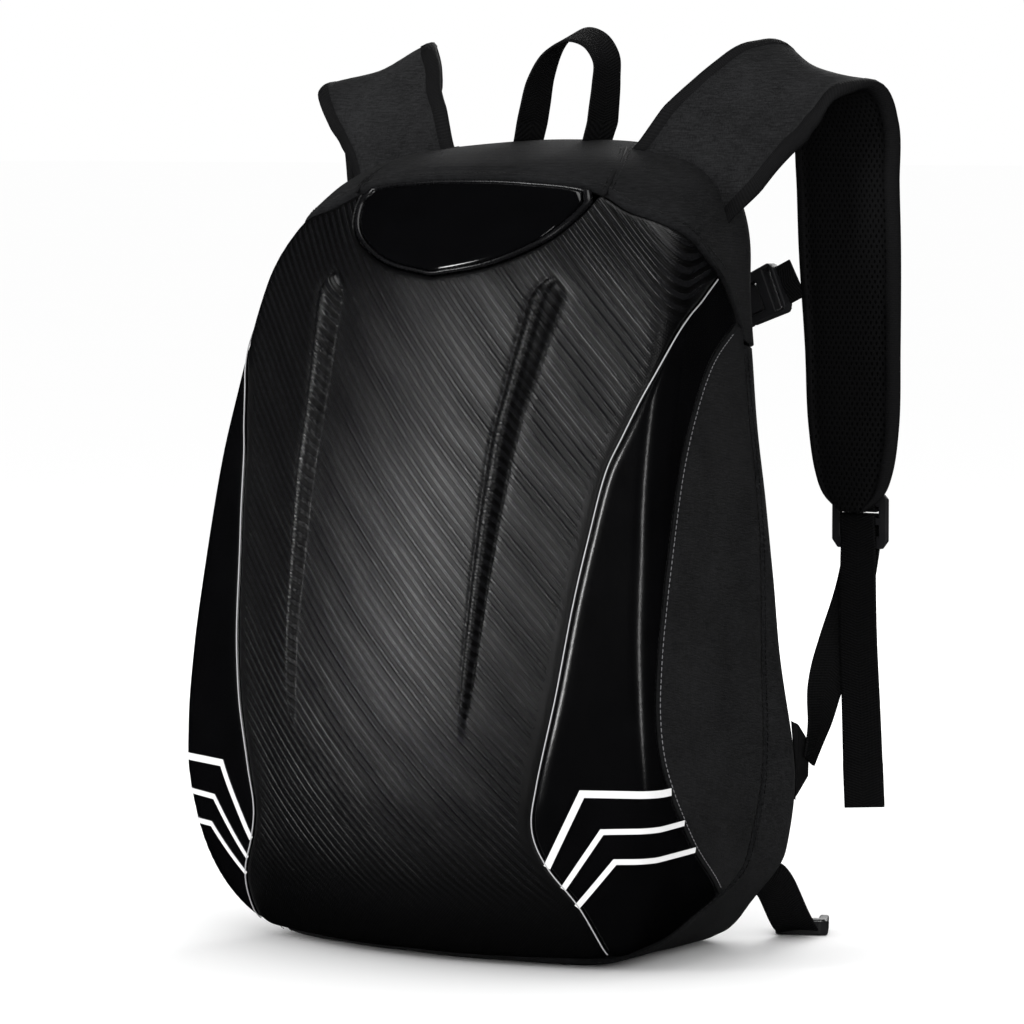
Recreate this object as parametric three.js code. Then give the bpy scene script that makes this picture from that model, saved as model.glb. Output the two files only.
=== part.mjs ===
// Motorcycle backpack with a moulded shell, in millimetres, standing on its base, +Z up, front towards -Y.
// The body is one smooth form. Its panels are thin walls cut from that form along the seams.
import * as THREE from "three";

// Body sizes
const BODY_HEIGHT = 498;
const HALF_WIDTH = 178.5;
const FRONT_DEPTH = 113;
const BACK_Y = 103;
const BACK_EDGE_RADIUS = 15;
const CROWN = 1.7e-3 * (178.5 / HALF_WIDTH);
const CROWN_END = 0.515 * HALF_WIDTH;

// Walls and gaps
const SHELL_WALL = 3;
const FABRIC_WALL = 2.4;
const SEAM_GAP = 0.4;
const HOOD_GAP = 0.8;
const JOIN_GAP = 0.9;
const FIT_GAP = 0.35;

// Ribs
const RIB_HEIGHT = 8;
const RIB_TOP_HALF = 15;
const RIB_TIP_HALF = 3.2;
const RIB_AT = 0.565;
const RIB_TOP_Z = 0.829 * BODY_HEIGHT;
const RIB_TIP_Z = 0.278 * BODY_HEIGHT;

// Straps, webbing and trim
const STRAP_THICK = 12;
const WEB_WIDTH = 25;
const WEB_THICK = 1.8;
const PAD_RELIEF = 7;
const BUCKLE_THICK = 9;

// Front view outline, right half, from the middle of the base to the middle of the top
const OUTLINE = [
  { wide: 0, high: 0 }, { wide: 0.34, high: 0 }, { wide: 0.605, high: 0 }, { wide: 0.734, high: 0.01 },
  { wide: 0.835, high: 0.036 }, { wide: 0.913, high: 0.08 }, { wide: 0.964, high: 0.133 }, { wide: 0.997, high: 0.197 },
  { wide: 1, high: 0.251 }, { wide: 0.986, high: 0.341 }, { wide: 0.966, high: 0.442 }, { wide: 0.952, high: 0.542 },
  { wide: 0.947, high: 0.643 }, { wide: 0.952, high: 0.733 }, { wide: 0.947, high: 0.803 }, { wide: 0.919, high: 0.857 },
  { wide: 0.857, high: 0.904 }, { wide: 0.784, high: 0.938 }, { wide: 0.678, high: 0.962 }, { wide: 0.55, high: 0.979 },
  { wide: 0.42, high: 0.989 }, { wide: 0.224, high: 0.997 }, { wide: 0, high: 1 },
];

// Side view: how far forward the middle of the front stands, and the radius of its outer edge
const PROFILE = [
  { high: 0, front: 0.584, edge: 10 }, { high: 0.012, front: 0.664, edge: 10 }, { high: 0.04, front: 0.77, edge: 10 },
  { high: 0.08, front: 0.867, edge: 10 }, { high: 0.12, front: 0.929, edge: 10 }, { high: 0.16, front: 0.965, edge: 10 },
  { high: 0.22, front: 0.995, edge: 10 }, { high: 0.281, front: 1, edge: 11 }, { high: 0.361, front: 0.978, edge: 12 },
  { high: 0.502, front: 0.88, edge: 13 }, { high: 0.602, front: 0.788, edge: 14 }, { high: 0.703, front: 0.646, edge: 15 },
  { high: 0.803, front: 0.496, edge: 17 }, { high: 0.829, front: 0.451, edge: 18 }, { high: 0.884, front: 0.31, edge: 22 },
  { high: 0.924, front: 0.15, edge: 24 }, { high: 0.944, front: 0.062, edge: 24 }, { high: 0.968, front: -0.088, edge: 24 },
  { high: 0.988, front: -0.319, edge: 24 }, { high: 1, front: -0.549, edge: 24 },
];

// How much narrower the sides become towards the back
const TAPER = [
  { high: 0, loss: 0.1 }, { high: 0.04, loss: 0.1 }, { high: 0.12, loss: 0.03 }, { high: 0.24, loss: 0.045 },
  { high: 0.36, loss: 0.08 }, { high: 0.5, loss: 0.1 }, { high: 0.7, loss: 0.16 }, { high: 0.8, loss: 0.18 },
  { high: 0.9, loss: 0.13 }, { high: 1, loss: 0.06 },
];

// Seams on the right side: shares of half width, front depth and height
const FRONT_SEAM = [
  { x: 0.807, y: 0.425, z: 0.83 }, { x: 0.85, y: 0.16, z: 0.802 }, { x: 0.88, y: -0.12, z: 0.771 },
  { x: 0.851, y: -0.355, z: 0.7 }, { x: 0.8, y: -0.468, z: 0.642 }, { x: 0.768, y: -0.534, z: 0.604 },
  { x: 0.735, y: -0.627, z: 0.522 }, { x: 0.71, y: -0.696, z: 0.452 }, { x: 0.672, y: -0.782, z: 0.335 },
  { x: 0.612, y: -0.821, z: 0.229 }, { x: 0.59, y: -0.817, z: 0.185 }, { x: 0.597, y: -0.799, z: 0.16 },
  { x: 0.63, y: -0.755, z: 0.13 }, { x: 0.708, y: -0.651, z: 0.084 }, { x: 0.735, y: -0.4, z: 0.013 },
];
const REAR_SEAM = [
  { x: 0.787, y: 0.65, z: 0.772 }, { x: 0.842, y: 0.243, z: 0.724 }, { x: 0.878, y: 0, z: 0.66 },
  { x: 0.906, y: -0.169, z: 0.596 }, { x: 0.938, y: -0.336, z: 0.502 }, { x: 0.957, y: -0.433, z: 0.441 },
  { x: 0.979, y: -0.535, z: 0.367 }, { x: 0.986, y: -0.562, z: 0.32 }, { x: 0.997, y: -0.551, z: 0.272 },
  { x: 0.999, y: -0.462, z: 0.225 }, { x: 0.984, y: -0.309, z: 0.181 }, { x: 0.962, y: -0.149, z: 0.146 },
  { x: 0.868, y: 0.306, z: 0.078 },
];
const BAND_SEAM = [
  { x: 0.785, y: 0.72, z: 0.748 }, { x: 0.807, y: 0.745, z: 0.637 }, { x: 0.848, y: 0.729, z: 0.525 },
  { x: 0.887, y: 0.665, z: 0.414 }, { x: 0.932, y: 0.581, z: 0.315 }, { x: 0.962, y: 0.512, z: 0.245 },
  { x: 0.956, y: 0.438, z: 0.166 }, { x: 0.913, y: 0.398, z: 0.107 }, { x: 0.865, y: 0.3, z: 0.076 },
  { x: 0.818, y: 0.132, z: 0.048 }, { x: 0.762, y: -0.03, z: 0.023 }, { x: 0.711, y: -0.298, z: 0.01 },
  { x: 0.618, y: -0.4, z: 0.008 }, { x: 0.4, y: -0.505, z: 0.008 }, { x: 0, y: -0.6, z: 0.008 },
];
const RIM = [
  { x: 0, y: -0.062, z: 0.944 }, { x: 0.24, y: -0.045, z: 0.941 }, { x: 0.5, y: -0.002, z: 0.929 },
  { x: 0.65, y: -0.022, z: 0.905 }, { x: 0.795, y: 0.12, z: 0.872 }, { x: 0.822, y: 0.27, z: 0.85 },
  { x: 0.807, y: 0.425, z: 0.83 }, { x: 0.79, y: 0.56, z: 0.8 }, { x: 0.787, y: 0.65, z: 0.772 },
];
// Lower edge of the badge, from its corner at the rim to its point
const BADGE_EDGE = [
  { x: 0.505, y: -0.002, z: 0.928 }, { x: 0.49, y: -0.1, z: 0.909 }, { x: 0.43, y: -0.23, z: 0.88 },
  { x: 0.33, y: -0.33, z: 0.858 }, { x: 0.2, y: -0.41, z: 0.841 }, { x: 0, y: -0.451, z: 0.829 },
];

const V = (x, y, z) => new THREE.Vector3(x, y, z);
const clamp = (a, lo, hi) => Math.min(hi, Math.max(lo, a));
const mirrored = (p) => V(-p.x, p.y, p.z);

// Smooth monotone curve through a table column
function columnCurve(rows, key, value) {
  const x = rows.map((r) => r[key]);
  const y = rows.map((r) => r[value]);
  const n = x.length;
  const step = x.slice(1).map((v, i) => v - x[i]);
  const slope = step.map((h, i) => (y[i + 1] - y[i]) / h);
  const m = [slope[0]];
  for (let i = 1; i < n - 1; i++) {
    const a = slope[i - 1];
    const b = slope[i];
    const wa = 2 * step[i] + step[i - 1];
    const wb = step[i] + 2 * step[i - 1];
    m.push(a * b > 0 ? (wa + wb) / (wa / a + wb / b) : 0);
  }
  m.push(slope[n - 2]);
  return (at) => {
    const u = clamp(at, x[0], x[n - 1]);
    let i = 0;
    while (i < n - 2 && u > x[i + 1]) i++;
    const t = (u - x[i]) / step[i];
    const s = 1 - t;
    const ends = y[i] * (1 + 2 * t) * s * s + y[i + 1] * t * t * (3 - 2 * t);
    return ends + m[i] * step[i] * t * s * s + m[i + 1] * step[i] * t * t * (t - 1);
  };
}
const frontAt = columnCurve(PROFILE, "high", "front");
const edgeAt = columnCurve(PROFILE, "high", "edge");
const lossAt = columnCurve(TAPER, "high", "loss");

function outlineSegments() {
  const rows = OUTLINE.map((r) => [r.wide * HALF_WIDTH, r.high * BODY_HEIGHT]);
  const all = [[-rows[1][0], rows[1][1]], ...rows, [-rows[rows.length - 2][0], rows[rows.length - 2][1]]];
  const points = [];
  const mix = (a, b, c, d, t) =>
    0.5 * (2 * b + (c - a) * t + (2 * a - 5 * b + 4 * c - d) * t * t + (3 * b - a - 3 * c + d) * t ** 3);
  for (let i = 1; i < all.length - 2; i++) {
    for (let k = 0; k < 4; k++) {
      const [a, b, c, d] = all.slice(i - 1, i + 3);
      points.push([mix(a[0], b[0], c[0], d[0], k / 4), mix(a[1], b[1], c[1], d[1], k / 4)]);
    }
  }
  points.push(rows[rows.length - 1]);
  return points.slice(1).map((p, i) => [points[i], p]);
}
const SEGMENTS = outlineSegments();

// Signed distance in the front view, negative inside
function outlineDistance(x, z) {
  const ax = Math.abs(x);
  let best = Infinity;
  let side = 1;
  for (const [[x0, z0], [x1, z1]] of SEGMENTS) {
    const dx = x1 - x0;
    const dz = z1 - z0;
    const t = clamp(((ax - x0) * dx + (z - z0) * dz) / (dx * dx + dz * dz), 0, 1);
    const ex = ax - x0 - dx * t;
    const ez = z - z0 - dz * t;
    const d = ex * ex + ez * ez;
    if (d < best) {
      best = d;
      side = dx * ez - dz * ex > 0 ? -1 : 1;
    }
  }
  return side * Math.sqrt(best);
}
function frontY(x, z) {
  const ax = Math.abs(x);
  const rise = ax < CROWN_END ? CROWN * ax * ax : CROWN * CROWN_END * (2 * ax - CROWN_END);
  return rise - FRONT_DEPTH * frontAt(z / BODY_HEIGHT);
}
function roundedMax(a, b, r) {
  if (a > -r && b > -r) return Math.hypot(Math.max(a + r, 0), Math.max(b + r, 0)) - r;
  return Math.max(a, b);
}
// Body form: negative inside
function form(p) {
  const back = clamp((p.y + 0.53 * FRONT_DEPTH) / (1.24 * FRONT_DEPTH), 0, 1.2);
  const side = outlineDistance(p.x / (1 - lossAt(p.z / BODY_HEIGHT) * back), p.z);
  const sx = (frontY(p.x + 1, p.z) - frontY(p.x - 1, p.z)) / 2;
  const sz = (frontY(p.x, p.z + 1) - frontY(p.x, p.z - 1)) / 2;
  const front = (frontY(p.x, p.z) - p.y) / Math.sqrt(1 + sx * sx + sz * sz);
  return roundedMax(roundedMax(side, front, edgeAt(p.z / BODY_HEIGHT)), p.y - BACK_Y, BACK_EDGE_RADIUS);
}
function outward(p) {
  const e = 0.4;
  const d = (v) => form(p.clone().add(v)) - form(p.clone().sub(v));
  return V(d(V(e, 0, 0)), d(V(0, e, 0)), d(V(0, 0, e))).normalize();
}
// Moves a point onto the form, seen from the inner spine of the body
function snap(p) {
  const centre = V(
    clamp(0.5 * p.x, -0.45 * HALF_WIDTH, 0.45 * HALF_WIDTH), 0.33 * BACK_Y,
    clamp(p.z, 0.14 * BODY_HEIGHT, 0.8 * BODY_HEIGHT),
  );
  const ray = p.clone().sub(centre).normalize();
  let lo = 0;
  let hi = 1.5 * HALF_WIDTH;
  for (let i = 0; i < 34; i++) {
    const mid = (lo + hi) / 2;
    if (form(centre.clone().addScaledVector(ray, mid)) < 0) lo = mid;
    else hi = mid;
  }
  return centre.addScaledVector(ray, lo);
}

// A curve through table rows, from 0 to 1 by length, lying on the form
function seamCurve(rows) {
  const curve = new THREE.CatmullRomCurve3(
    rows.map((r) => snap(V(r.x * HALF_WIDTH, r.y * FRONT_DEPTH, r.z * BODY_HEIGHT))), false, "centripetal",
  );
  curve.arcLengthDivisions = 400;
  return (t) => snap(curve.getPointAt(clamp(t, 0, 1)));
}
const frontSeam = seamCurve(FRONT_SEAM);
const rearSeam = seamCurve(REAR_SEAM);
const bandSeam = seamCurve(BAND_SEAM);
const rimCurve = seamCurve(RIM);
const badgeEdge = seamCurve(BADGE_EDGE);

// Share of a curve where a test changes sign
function shareWhere(curve, test) {
  let lo = 0;
  let hi = 1;
  for (let i = 0; i < 24; i++) {
    const mid = (lo + hi) / 2;
    if (test(curve(mid))) lo = mid;
    else hi = mid;
  }
  return lo;
}
const SEAM_AT_RIM = shareWhere(rimCurve, (p) => p.z > FRONT_SEAM[0].z * BODY_HEIGHT);
const BADGE_AT_RIM = shareWhere(rimCurve, (p) => p.x < badgeEdge(0).x);
const FRONT_SEAM_AT_BAND = shareWhere(bandSeam, (p) => p.z > frontSeam(1).z + 0.001 || p.y > frontSeam(1).y);
const REAR_SEAM_AT_BAND = shareWhere(bandSeam, (p) => p.z > rearSeam(1).z);
const SIDE_END_AT_BAND = REAR_SEAM_AT_BAND - 0.009;

// A closed wall between an outer and an inner grid of points
function wall(outer, inner) {
  const rows = outer.length;
  const cols = outer[0].length;
  const points = [...outer.flat(), ...inner.flat()];
  const o = (i, j) => i * cols + j;
  const n = (i, j) => rows * cols + i * cols + j;
  const faces = [];
  const quad = (a, b, c, d) => faces.push([a, b, c], [a, c, d]);
  for (let i = 0; i < rows - 1; i++) {
    for (let j = 0; j < cols - 1; j++) {
      quad(o(i, j), o(i, j + 1), o(i + 1, j + 1), o(i + 1, j));
      quad(n(i, j), n(i + 1, j), n(i + 1, j + 1), n(i, j + 1));
    }
  }
  for (let j = 0; j < cols - 1; j++) {
    quad(o(0, j), n(0, j), n(0, j + 1), o(0, j + 1));
    quad(o(rows - 1, j), o(rows - 1, j + 1), n(rows - 1, j + 1), n(rows - 1, j));
  }
  for (let i = 0; i < rows - 1; i++) {
    quad(o(i, 0), o(i + 1, 0), n(i + 1, 0), n(i, 0));
    quad(o(i, cols - 1), n(i, cols - 1), n(i + 1, cols - 1), o(i + 1, cols - 1));
  }
  return solid(points, faces);
}
// Triangles to a geometry that faces out
function solid(points, faces) {
  let volume = 0;
  for (const [a, b, c] of faces) volume += points[a].dot(points[b].clone().cross(points[c]));
  const turned = volume < 0 ? faces.map(([a, b, c]) => [a, c, b]) : faces;
  const g = new THREE.BufferGeometry();
  g.setAttribute("position", new THREE.Float32BufferAttribute(points.flatMap((p) => [p.x, p.y, p.z]), 3));
  g.setIndex(turned.flat());
  return g;
}
// A curve moved so that it starts and ends at given points
function pinned(curve, start, end) {
  const first = start.clone().sub(curve(0));
  const last = end.clone().sub(curve(1));
  return (t) => curve(t).clone().addScaledVector(first, 1 - t).addScaledVector(last, t);
}
// A panel of the form inside four curves: left and right run from bottom to top, bottom and top from left to right
function panelGrid(edges, us, vs, gap, endGap = gap) {
  const { left, right } = edges;
  const bottom = pinned(edges.bottom, left(0), right(0));
  const top = pinned(edges.top, left(1), right(1));
  const share = (a, b, g) => g / Math.max(a.distanceTo(b), 5 * g);
  const corner = [left(0), right(0), left(1), right(1)];
  return vs.map((v0) => us.map((u0) => {
    const gu = share(left(v0), right(v0), gap);
    const gv = share(bottom(u0), top(u0), endGap);
    const u = gu + (1 - 2 * gu) * u0;
    const v = gv + (1 - 2 * gv) * v0;
    const p = V(0, 0, 0).addScaledVector(left(v), 1 - u).addScaledVector(right(v), u);
    p.addScaledVector(bottom(u), 1 - v).addScaledVector(top(u), v);
    p.addScaledVector(corner[0], -(1 - u) * (1 - v)).addScaledVector(corner[1], -u * (1 - v));
    p.addScaledVector(corner[2], -(1 - u) * v).addScaledVector(corner[3], -u * v);
    return snap(p);
  }));
}
function skinWall(grid, thick, lift = () => 0, start = 0) {
  const normals = grid.map((row) => row.map(outward));
  const outer = grid.map((row, i) => row.map((p, j) => p.clone().addScaledVector(normals[i][j], start + lift(p, i, j))));
  const inner = grid.map((row, i) => row.map((p, j) =>
    p.clone().addScaledVector(normals[i][j], start - thick + lift(p, i, j))));
  return wall(outer, inner);
}
const spread = (n) => Array.from({ length: n + 1 }, (_, i) => i / n);
const flipX = (geometry) => {
  const g = geometry.clone();
  g.applyMatrix4(new THREE.Matrix4().makeScale(-1, 1, 1));
  const index = [...g.index.array];
  for (let i = 0; i < index.length; i += 3) [index[i + 1], index[i + 2]] = [index[i + 2], index[i + 1]];
  g.setIndex(index);
  return g;
};

// Moulded shell: the top edge follows the badge and the rim
const BADGE_SHARE = 0.63;
const rimShare = (reach) => BADGE_AT_RIM + (SEAM_AT_RIM - BADGE_AT_RIM) * (reach - BADGE_SHARE) / (1 - BADGE_SHARE);
function shellTop(a) {
  const reach = Math.abs(a);
  const p = reach < BADGE_SHARE ? badgeEdge(1 - reach / BADGE_SHARE) : rimCurve(rimShare(reach));
  return a < 0 ? mirrored(p) : p;
}
function shellBottom(a) {
  const p = bandSeam(1 - (1 - FRONT_SEAM_AT_BAND) * Math.abs(a));
  return a < 0 ? mirrored(p) : p;
}
function ribLift(a, z) {
  if (z > RIB_TOP_Z || z < RIB_TIP_Z) return 0;
  const along = (z - RIB_TIP_Z) / (RIB_TOP_Z - RIB_TIP_Z);
  const half = RIB_TIP_HALF + (RIB_TOP_HALF - RIB_TIP_HALF) * along ** 0.8;
  const off = (Math.abs(a) - RIB_AT) * HALF_WIDTH * 0.78 / half;
  const cap = Math.min(1, (RIB_TOP_Z - z) / RIB_TOP_HALF);
  const lift = RIB_HEIGHT * (0.45 + 0.55 * along) * Math.sqrt(cap * (2 - cap)) * Math.min(1, along * 12);
  return Math.abs(off) >= 1 ? 0 : lift * (1 - off * off) ** 0.8;
}
const SEAM_ROWS = [0, 0.02, 0.055, 0.1, 0.15, 0.2, 0.245, 0.28, 0.31, 0.35, 0.41, 0.48, 0.55, 0.62, 0.69, 0.76, 0.82,
  0.87, 0.91, 0.94, 0.965, 0.985, 1];
const SHELL_COLUMNS = [0, 0.15, 0.3, 0.41, 0.455, 0.5, 0.53, RIB_AT, 0.6, 0.63, 0.68, 0.76, 0.84, 0.92, 1];
const GLOSS_COLUMNS = 6;
function carbonShell() {
  const across = [...SHELL_COLUMNS.slice(1).map((a) => -a).reverse(), ...SHELL_COLUMNS];
  const edges = {
    left: (v) => mirrored(frontSeam(1 - v)), right: (v) => frontSeam(1 - v),
    bottom: (u) => shellBottom(2 * u - 1), top: (u) => shellTop(2 * u - 1),
  };
  const grid = panelGrid(edges, across.map((a) => (a + 1) / 2), SEAM_ROWS, SEAM_GAP, JOIN_GAP);
  return skinWall(grid, SHELL_WALL, (p, i, j) => ribLift(across[j], p.z));
}
// Patent panel between the two side seams
function glossPanel() {
  const edges = {
    left: (v) => frontSeam(1 - v), right: (v) => rearSeam(1 - v),
    bottom: (u) => bandSeam(FRONT_SEAM_AT_BAND + (REAR_SEAM_AT_BAND - FRONT_SEAM_AT_BAND) * u),
    top: (u) => rimCurve(SEAM_AT_RIM + (1 - SEAM_AT_RIM) * u),
  };
  return skinWall(panelGrid(edges, spread(GLOSS_COLUMNS), SEAM_ROWS, SEAM_GAP), FABRIC_WALL);
}
function sidePanel() {
  const edges = {
    left: (v) => rearSeam(1 - v), right: (v) => bandSeam(SIDE_END_AT_BAND * (1 - v)),
    bottom: (u) => rearSeam(1).lerp(bandSeam(SIDE_END_AT_BAND), u), top: (u) => rearSeam(0).lerp(bandSeam(0), u),
  };
  return skinWall(panelGrid(edges, spread(4), SEAM_ROWS, SEAM_GAP), FABRIC_WALL);
}
// Edge of the padded back: half its width at a height
const BACK_LOW = 0.04 * BODY_HEIGHT;
const BACK_HIGH = 0.965 * BODY_HEIGHT;
const HOOD_END_Z = 0.735 * BODY_HEIGHT;
function backHalf(z) {
  let lo = 0;
  let hi = HALF_WIDTH;
  for (let i = 0; i < 30; i++) {
    const mid = (lo + hi) / 2;
    if (form(V(mid, BACK_Y - 0.02, z)) < 0) lo = mid;
    else hi = mid;
  }
  return lo;
}
function backEdge(rows) {
  const curve = new THREE.CurvePath();
  rows.slice(1).forEach((p, i) => curve.add(new THREE.LineCurve3(rows[i], p)));
  return (t) => curve.getPointAt(clamp(t, 0, 1));
}
const backPoint = (z) => V(backHalf(z), BACK_Y, z);
const gussetBack = backEdge([
  ...spread(16).map((t) => backPoint(HOOD_END_Z + (BACK_LOW - HOOD_END_Z) * t)), V(0, BACK_Y, BACK_LOW),
]);
const hoodBack = backEdge([
  V(0, BACK_Y, BACK_HIGH), ...spread(14).map((t) => backPoint(BACK_HIGH + (HOOD_END_Z - BACK_HIGH) * t)),
]);
function twoSided(curve, u) {
  const p = curve(Math.abs(2 * u - 1));
  return u < 0.5 ? mirrored(p) : p;
}
function gusset() {
  const seam = (u) => twoSided((t) => bandSeam(1 - t), u);
  const back = (u) => twoSided((t) => gussetBack(1 - t), u);
  const edges = {
    left: (v) => seam(0).lerp(back(0), v), right: (v) => seam(1).lerp(back(1), v), bottom: seam, top: back,
  };
  return skinWall(panelGrid(edges, spread(64), [0, 0.25, 0.5, 0.72, 0.87, 1], JOIN_GAP), FABRIC_WALL);
}
function hood() {
  const rim = (u) => twoSided(rimCurve, u);
  const back = (u) => twoSided(hoodBack, u);
  const lower = (v, side) => {
    const p = v < 0.25 ? rimCurve(1).lerp(bandSeam(0), 4 * v) : bandSeam(0).lerp(hoodBack(1), (v - 0.25) / 0.75);
    return side < 0 ? mirrored(p) : p;
  };
  const edges = { left: (v) => lower(v, -1), right: (v) => lower(v, 1), bottom: rim, top: back };
  const right = [
    ...spread(5).map((t) => t * BADGE_AT_RIM), ...SHELL_COLUMNS.filter((a) => a > BADGE_SHARE).map(rimShare),
    ...spread(GLOSS_COLUMNS).slice(1).map((t) => SEAM_AT_RIM + (1 - SEAM_AT_RIM) * t),
  ];
  const us = [...right.slice(1).map((t) => -t).reverse(), ...right].map((t) => (t + 1) / 2);
  return skinWall(panelGrid(edges, us, [0, 0.14, 0.35, 0.56, 0.74, 0.87, 1], HOOD_GAP), FABRIC_WALL);
}
// Padded back with a channel down the middle
function backPanel() {
  const count = 14;
  const rows = spread(count).map((t) => BACK_LOW + 3 * JOIN_GAP + (BACK_HIGH - BACK_LOW - 4 * JOIN_GAP) * t);
  const across = [-1, -0.96, -0.84, -0.55, -0.28, -0.12, 0, 0.12, 0.28, 0.55, 0.84, 0.96, 1];
  const relief = (a, t) => {
    const edge = clamp((1 - Math.abs(a)) / 0.18, 0, 1) * clamp(Math.min(t, 1 - t) / 0.06, 0, 1);
    const channel = clamp((Math.abs(a) - 0.08) / 0.14, 0, 1);
    return PAD_RELIEF * Math.sin((Math.PI / 2) * edge) * (0.25 + 0.75 * Math.sin((Math.PI / 2) * channel));
  };
  const grid = (offset, lift) => rows.map((z, i) => across.map((a) =>
    V(a * (backHalf(z) - 2 * JOIN_GAP), BACK_Y + offset + (lift ? relief(a, i / count) : 0), z)));
  return wall(grid(0, true), grid(-FABRIC_WALL, false));
}

// Closed loop round the badge, shrunk towards its middle
function badgeLoop(scale, count) {
  const corner = 0.94;
  const low = spread(count).map((t) => {
    const a = (2 * t - 1) * corner;
    const p = badgeEdge(1 - Math.abs(a));
    return a < 0 ? mirrored(p) : p;
  });
  const high = spread(count).map((t) => {
    const a = (1 - 2 * t) * corner;
    const p = rimCurve(BADGE_AT_RIM * Math.abs(a));
    return a < 0 ? mirrored(p) : p;
  });
  const middle = rimCurve(0).lerp(badgeEdge(1), 0.45);
  return [...low, ...high].map((p) => snap(middle.clone().lerp(p, scale)));
}
// A ring of sections round a loop, each section a list of points
function ringSolid(sections) {
  const k = sections[0].length;
  const n = sections.length;
  const faces = [];
  for (let i = 0; i < n; i++) {
    for (let j = 0; j < k; j++) {
      const a = i * k + j;
      const b = i * k + ((j + 1) % k);
      const c = ((i + 1) % n) * k + ((j + 1) % k);
      const d = ((i + 1) % n) * k + j;
      faces.push([a, b, c], [a, c, d]);
    }
  }
  return solid(sections.flat(), faces);
}
function badgeRim() {
  const loops = [0.975, 0.945, 0.915].map((s) => badgeLoop(s, 14));
  const raise = (p, h) => p.clone().addScaledVector(outward(p), h);
  return ringSolid(loops[0].map((p, i) => [
    raise(p, -SHELL_WALL), raise(p, 0.4), raise(loops[1][i], 1.4), raise(loops[2][i], 0.4), raise(loops[2][i], -SHELL_WALL),
  ]));
}
// A disc wall: loops from the outside in, on the outer and the inner face
function badgeLens() {
  const scales = [0.9, 0.8, 0.45];
  const sink = [0.9, 0.1, -0.7];
  const count = 14;
  const loops = scales.map((s) => badgeLoop(s, count));
  const raise = (p, h) => p.clone().addScaledVector(outward(p), h);
  const outer = loops.map((loop, i) => loop.map((p) => raise(p, -sink[i])));
  const inner = loops.map((loop) => loop.map((p) => raise(p, -SHELL_WALL)));
  const k = loops[0].length;
  const rings = [...inner].reverse().concat(outer);
  const points = rings.flat();
  const faces = [];
  for (let i = 0; i < rings.length - 1; i++) {
    for (let j = 0; j < k; j++) {
      const b = (j + 1) % k;
      faces.push([i * k + j, i * k + b, (i + 1) * k + b], [i * k + j, (i + 1) * k + b, (i + 1) * k + j]);
    }
  }
  const middle = (ring) => ring.reduce((s, p) => s.add(p), V(0, 0, 0)).divideScalar(k);
  const first = points.push(middle(rings[0])) - 1;
  const last = points.push(middle(rings[rings.length - 1])) - 1;
  const end = (rings.length - 1) * k;
  for (let j = 0; j < k; j++) {
    faces.push([first, (j + 1) % k, j], [last, end + j, end + ((j + 1) % k)]);
  }
  return solid(points, faces);
}

// A strip along stations, each with a middle, a width direction, a half width and a half thickness
function strip(stations, foot) {
  const n = stations.length;
  const sections = stations.map((s, i) => {
    const before = stations[Math.max(0, i - 1)].at;
    const after = stations[Math.min(n - 1, i + 1)].at;
    const along = s.along ? s.along.clone() : after.clone().sub(before).normalize();
    const wide = s.wide.clone().addScaledVector(along, -s.wide.dot(along)).normalize();
    const thick = along.clone().cross(wide).normalize();
    const round = s.round ?? 0.5;
    const across = s.flat ? (s.across ?? []) : [0.86, 0.45, 0, -0.45, -0.86];
    const side = s.flat ? 1 : round;
    const corners = [
      [1, -side], [1, side], ...across.map((a) => [a, 1]), [-1, side], [-1, -side],
      ...[...across].reverse().map((a) => [a, -1]),
    ];
    return corners.map(([a, b]) => {
      const p = s.at.clone().addScaledVector(wide, a * s.w).addScaledVector(thick, b * s.t);
      p.addScaledVector(along, (s.bow ?? 0) * (1 - a * a));
      return foot && (i === 0 || (s.foot && i === n - 1)) ? foot(p) : p;
    });
  });
  const k = sections[0].length;
  const faces = [];
  for (let i = 0; i < n - 1; i++) {
    for (let j = 0; j < k; j++) {
      const b = (j + 1) % k;
      faces.push([i * k + j, i * k + b, (i + 1) * k + b], [i * k + j, (i + 1) * k + b, (i + 1) * k + j]);
    }
  }
  const end = (n - 1) * k;
  for (let j = 0; j < k / 2 - 1; j++) {
    const [a, b, c, d] = [(k - j) % k, 1 + j, 2 + j, k - j - 1];
    faces.push([a, c, b], [a, d, c], [end + a, end + b, end + c], [end + a, end + c, end + d]);
  }
  return solid(sections.flat(), faces);
}
// Stations of even spacing through table rows
function smoothStations(rows, count) {
  const middle = new THREE.CatmullRomCurve3(rows.map((r) => r.at), false, "centripetal");
  const wide = new THREE.CatmullRomCurve3(rows.map((r) => r.wide), false, "centripetal");
  const sizes = new THREE.CatmullRomCurve3(rows.map((r) => V(r.w, r.t, r.bow ?? 0)), false, "centripetal");
  return spread(count).map((t) => {
    const size = sizes.getPoint(t);
    return { at: middle.getPoint(t), wide: wide.getPoint(t).normalize(), w: size.x, t: size.y, bow: size.z };
  });
}
const onSkin = (lift) => (p) => {
  const q = snap(p);
  return q.addScaledVector(outward(q), lift);
};
const place = (x, back, z) => V(x * HALF_WIDTH, BACK_Y + back, z * BODY_HEIGHT);

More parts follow.
